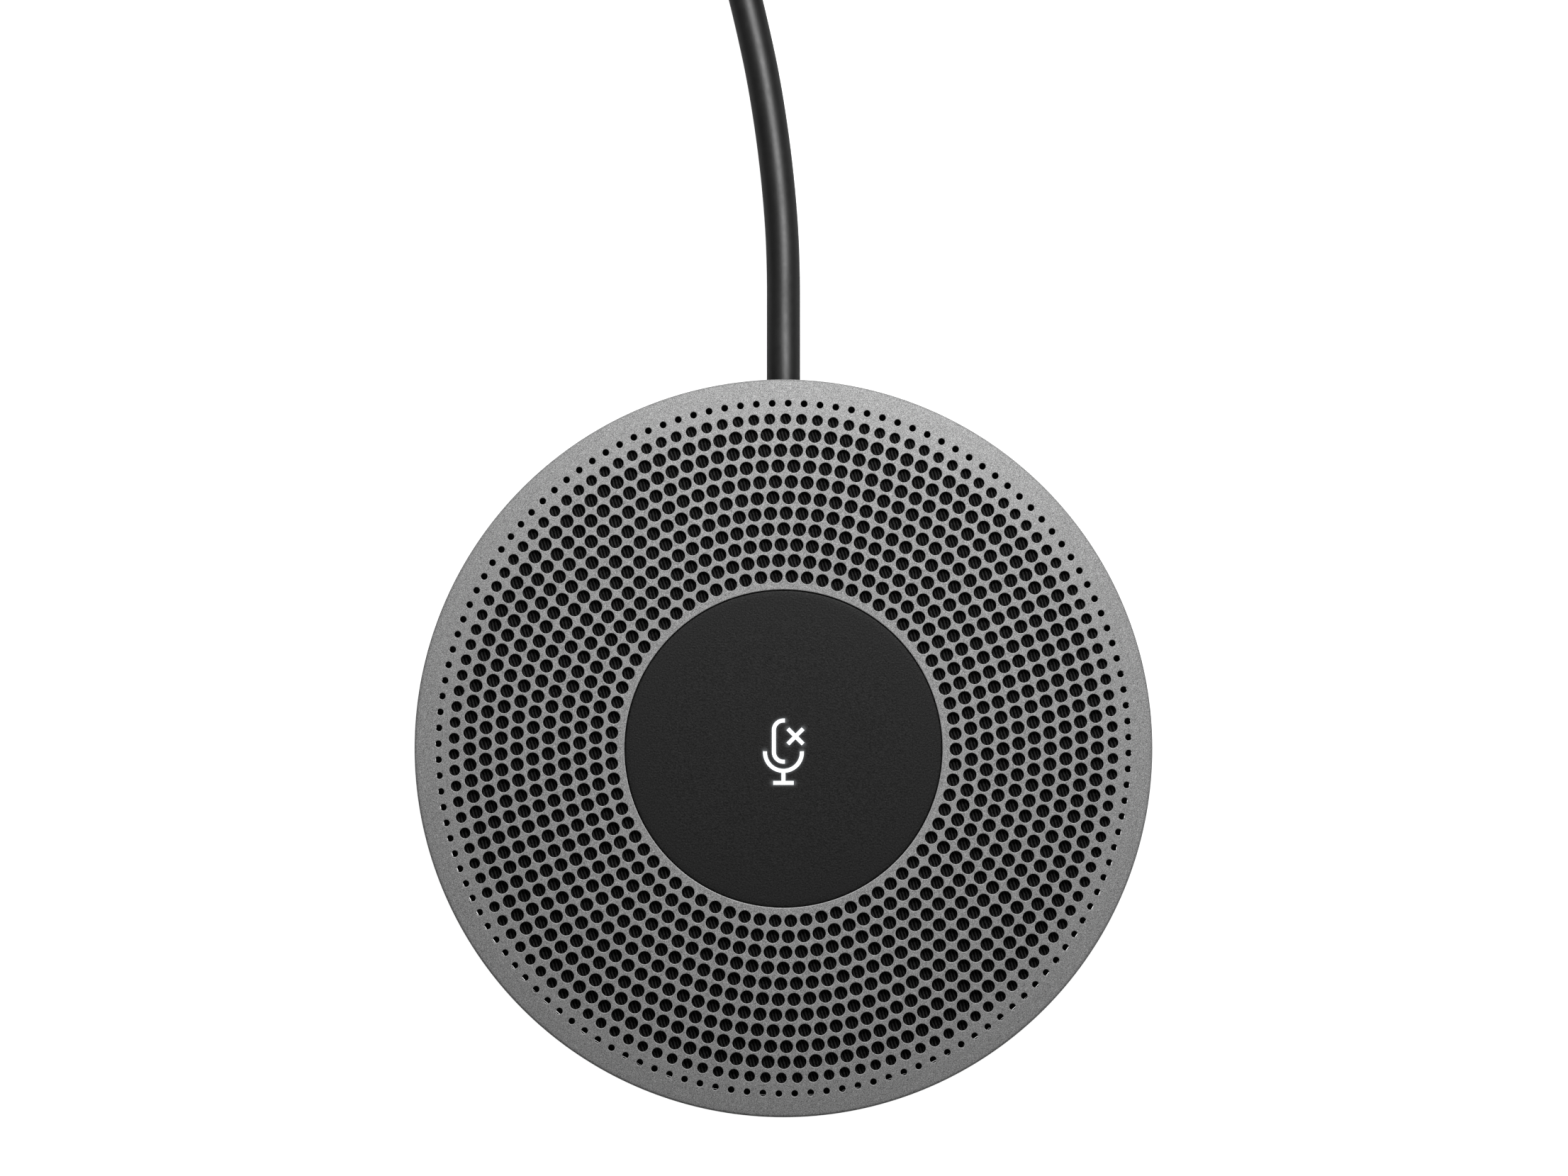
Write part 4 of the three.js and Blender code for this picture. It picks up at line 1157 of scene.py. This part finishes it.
def key_cap():
    """The key, with the sign's strokes cut through it and a faint painted glow on the coat beside
    them.
    """
    top_r, low_r = 17.58, 16.4
    segments = 192
    flat, tris, lit = flat_sign(top_r, segments, True)
    tris = [t for t, on in zip(tris, lit) if not on]
    reach = np.hypot(flat[:, 0], flat[:, 1])
    on_edge = reach > top_r - 1e-3
    count = len(flat)
    top = np.column_stack([flat, key_top(reach)])
    shrink = np.where(on_edge, low_r / top_r, 1.0)[:, None]
    low = np.column_stack([flat * shrink, np.full(count, 19.2)])
    verts = [tuple(v) for v in np.vstack([top, low])]
    faces = list(tris) + [(c + count, b + count, a + count) for a, b, c in tris]
    for a, b in walls_of(tris):
        if not (on_edge[a] and on_edge[b]):
            faces.append((b, a, a + count, b + count))
    edge_z = float(key_top(top_r))
    profile = [
        (17.64, edge_z - 0.012),
        (17.70, edge_z - 0.04),
        (17.745, edge_z - 0.085),
        (17.77, edge_z - 0.16),
        (17.77, 20.04), (17.81, 20.0), (18.2, 20.0), (18.3, 19.9), (18.3, 18.5), (16.4, 18.5),
    ]
    around = np.arctan2(flat[:, 1], flat[:, 0]) % (2 * math.pi)
    edge_ids = sorted(np.nonzero(on_edge)[0], key=lambda i: around[i])
    rings = [edge_ids]
    for r, z in profile:
        rings.append(list(range(len(verts), len(verts) + segments)))
        verts += [(*on_ring(r, 360 * s / segments), z) for s in range(segments)]
    rings.append([i + count for i in edge_ids])
    for upper, lower in zip(rings, rings[1:]):
        for s in range(segments):
            t = (s + 1) % segments
            faces.append((upper[s], lower[s], lower[t], upper[t]))
    faces = [tuple(int(i) for i in f) for f in faces]
    mesh = mesh_from("key_cap", verts, faces, sharp=40)
    # The coat beside the strokes gets a painted glow, which fades with distance from them.
    away = glow_at(np.array([(v.co.x / MM, v.co.y / MM) for v in mesh.vertices]))
    height = np.array([v.co.z / MM for v in mesh.vertices])
    on_top = (height > 20.4) * (away < GLOW_REACH)
    bright = GLOW * np.exp(-np.maximum(0.0, away - SIGN_HALF) / GLOW_FADE) * on_top
    painted_glow = mesh.attributes.new("painted_glow", "FLOAT", "POINT")
    painted_glow.data.foreach_set("value", bright.astype(np.float32))
    return mesh


def key_sign():
    """The light guide: a plate and post under the key, and strokes that fill its cut-outs."""
    flat, tris, lit = flat_sign(12.0, 96, False)
    reach = np.hypot(flat[:, 0], flat[:, 1])
    count = len(flat)
    lit_tris = [t for t, on in zip(tris, lit) if on]
    dim_tris = [t for t, on in zip(tris, lit) if not on]
    top = np.column_stack([flat, key_top(reach) - 0.035])
    plate = np.column_stack([flat, np.full(count, 19.0)])
    foot = np.column_stack([flat, np.full(count, 18.0)])
    verts = [tuple(v) for v in np.vstack([top, plate, foot])]
    faces = list(lit_tris) + [tuple(i + count for i in t) for t in dim_tris]
    faces += [(c + 2 * count, b + 2 * count, a + 2 * count) for a, b, c in tris]
    for a, b in walls_of(lit_tris):
        faces.append((b, a, a + count, b + count))
    for a, b in walls_of(tris):
        faces.append((b + count, a + count, a + 2 * count, b + 2 * count))
    faces = [tuple(int(i) for i in f) for f in faces]
    mesh = mesh_from("key_sign", verts, faces, sharp=40)
    drop_loose(mesh)
    post = [(0, 17.75), (1.7, 17.75), (1.8, 17.85), (1.8, 18.4), (0, 18.4)]
    return carve(mesh, [mesh_from("post", *turned(post, 32))], "UNION")


add_piece("key_cap", key_cap(), "soft_touch_key", ("mute_key",), "key")
add_piece("key_sign", key_sign(), "lit_sign", ("key_light_guide",), "key")

# ---------------------------------------------------------------- the base, its foot and screws

SCREW_ANGLES = (60, 180, 300)
SCREW_RING_R = 27.0
SCREW_FACE_Z = 2.2
POST_ANGLES = (30, 150, 270)
POST_RING_R = 34.6


def base_body():
    """The shell with its screw bosses and board posts. Odd numbers of sides keep the cutters'
    corners off the edges that they cut."""
    outline = [
        (0.0, 0.8), (20.0, 0.8), (20.15, 0.95), (20.45, 0.95), (20.6, 0.8), (30.35, 0.8),
        (30.5, 0.95), (30.5, 1.6), (34.7, 1.6), (34.7, 0.95), (34.85, 0.8),
        *arc(36.2, 3.0, 2.2, -90, -4, 12),
        (38.55, 4.6), (38.8, 7.25), (38.85, 7.3), (39.4, 7.6), (39.4, 12.0), (37.6, 12.0),
        (37.6, 2.4), (19.9, 2.4), (19.9, 9.5), (18.4, 9.5), (18.4, 2.4), (0.0, 2.4),
    ]
    body = mesh_from("housing_base", *turned(outline, 255))
    added, taken = [], []
    for angle in SCREW_ANGLES:
        x, y = on_ring(SCREW_RING_R, angle)
        boss = [(0, 2.0), (3.2, 2.0), (3.2, 5.9), (3.1, 6.0), (0, 6.0)]
        added.append(mesh_from("boss", *turned(boss, 48, (x, y))))
        bore = [(0, -1.0), (2.65, -1.0), (2.65, 0.78), (2.45, 0.98)]
        bore += [(2.45, 3.4), (1.45, 3.4), (1.45, 8.0), (0, 8.0)]
        taken.append(mesh_from("bore", *turned(bore, 49, (x, y))))
    for angle in POST_ANGLES:
        x, y = on_ring(POST_RING_R, angle)
        post = [(0, 2.0), (2.8, 2.0), (2.8, 7.2), (2.7, 7.3), (0, 7.3)]
        pilot = [(0, 3.0), (0.8, 3.0), (0.8, 9.0), (0, 9.0)]
        added.append(mesh_from("post", *turned(post, 48, (x, y))))
        taken.append(mesh_from("pilot", *turned(pilot, 25, (x, y))))
    bore = [(0, 36.0), (2.45, 36.0), (2.45, 40.0), (0, 40.0)]
    taken.append(mesh_from("bore", *turned(bore, 49, along_y=(0.0, EXIT[2]))))
    taken.append(brick("slot", (-1.1, 17.4, 6.8), (1.1, 20.9, 10.5), 0))
    body = carve(body, added, "UNION")
    return carve(body, taken)


add_piece("housing_base", base_body(), "black_plastic", ("base",))

# The foot's tread has two shallow grooves.
foot_outline = [
    *arc(31.1, 0.3, 0.3, 180, 270, 4),
    (32.0, 0.0), (32.15, 0.12), (32.45, 0.12), (32.6, 0.0), (32.75, 0.12), (33.05, 0.12),
    (33.2, 0.0),
    *arc(34.1, 0.3, 0.3, 270, 360, 4),
    (34.4, 1.4), (30.8, 1.4),
]
foot_mesh = mesh_from("foot_band", *turned(foot_outline, 256))
add_piece("foot_band", foot_mesh, "foot_rubber", ("foot_ring",))


def base_screw(angle):
    """A pan head with a cross recess, facing down, and its shank."""
    x, y = on_ring(SCREW_RING_R, angle)
    z = SCREW_FACE_Z
    outline = [
        (0, z),
        (1.2, z + 0.02),
        (1.7, z + 0.10),
        (2.0, z + 0.26),
        (2.15, z + 0.55),
        (2.15, z + 1.1),
        (1.2, z + 1.1),
        (1.2, z + 7.3),
        (0, z + 8.5),
    ]
    body = mesh_from("screw", *turned(outline, 48, (x, y)))
    cross = [
        brick("arm", (x - a, y - b, z - 1), (x + a, y + b, z + 0.62), 0.08, 2)
        for a, b in ((1.25, 0.24), (0.24, 1.25))
    ]
    return carve(body, cross)


for k, angle in enumerate(SCREW_ANGLES, 1):
    add_piece(f"long_screw_{k}", base_screw(angle), "black_steel", (f"base_screw_{k}",))

# ---------------------------------------------------------------- finishes on the CAD nodes

for part in frame["record"]["subparts"]:
    if part["node"] not in remade:
        mesh = frame["nodes"][part["node"]].data
        mesh.materials.clear()
        mesh.materials.append(MATERIALS[part["material_slot"]])

# ---------------------------------------------------------------- floor and light


def floor_material():
    s = Surface("floor_white", Specular_IOR_Level=0.2)
    s.colour(s.noise(40.0, 3.0), [(0.3, 0.52), (0.7, 0.56)])
    s.rough(s.noise(8.0, 3.0), 0.72, 0.82)
    # The floor is washed out to white where it is seen, and an ordinary pale floor in reflections.
    seen = s.node("ShaderNodeLightPath").outputs["Is Camera Ray"]
    s.glows((1.0, 1.0, 1.0), s.mapped(seen, 0.0, 0.97))
    return s.material


FLOOR_HALF = 1.5
FLOOR_DROP = 0.00005
square = ((-1, -1), (1, -1), (1, 1), (-1, 1))
floor_corners = [(x * FLOOR_HALF, y * FLOOR_HALF, 0) for x, y in square]
floor_mesh = bpy.data.meshes.new("floor")
floor_mesh.from_pydata(floor_corners, [], [(0, 1, 2, 3)])
floor = bpy.data.objects.new("floor", floor_mesh)
floor.location = (0, 0, -FLOOR_DROP)
floor_mesh.materials.append(floor_material())
scene.collection.objects.link(floor)

world = bpy.data.worlds.new("studio")
world.use_nodes = True
sky = world.node_tree.nodes["Background"].inputs
sky["Color"].default_value = (1.0, 1.0, 1.0, 1.0)
sky["Strength"].default_value = 0.12
scene.world = world


def soft_light(name, azimuth, elevation, distance, size, watts, aim=(0.0, 0.0, 0.0), only=()):
    """A square area light aimed at a point, with its azimuth from +X. only: what it lights."""
    data = bpy.data.lights.new(name, "AREA")
    data.shape = "SQUARE"
    data.size = size
    data.energy = watts
    light = bpy.data.objects.new(name, data)
    a, e = math.radians(azimuth), math.radians(elevation)
    place = Vector((math.cos(e) * math.cos(a), math.cos(e) * math.sin(a), math.sin(e))) * distance
    light.location = place + Vector(aim)
    light.visible_camera = False
    light.rotation_euler = (-place).to_track_quat("-Z", "Y").to_euler()
    scene.collection.objects.link(light)
    if only:
        lit = bpy.data.collections.new(name + "_only")
        for piece in only:
            lit.objects.link(piece)
        light.light_linking.receiver_collection = lit


soft_light("key_light", 77, 52, 0.25, 0.11, 0.47)
# A broad sheen along the lead.
soft_light("lead_light", 0, 72, 0.5, 0.27, 3.0, (0.0, 0.09, 0.0), [lead_cord, *on_lead])
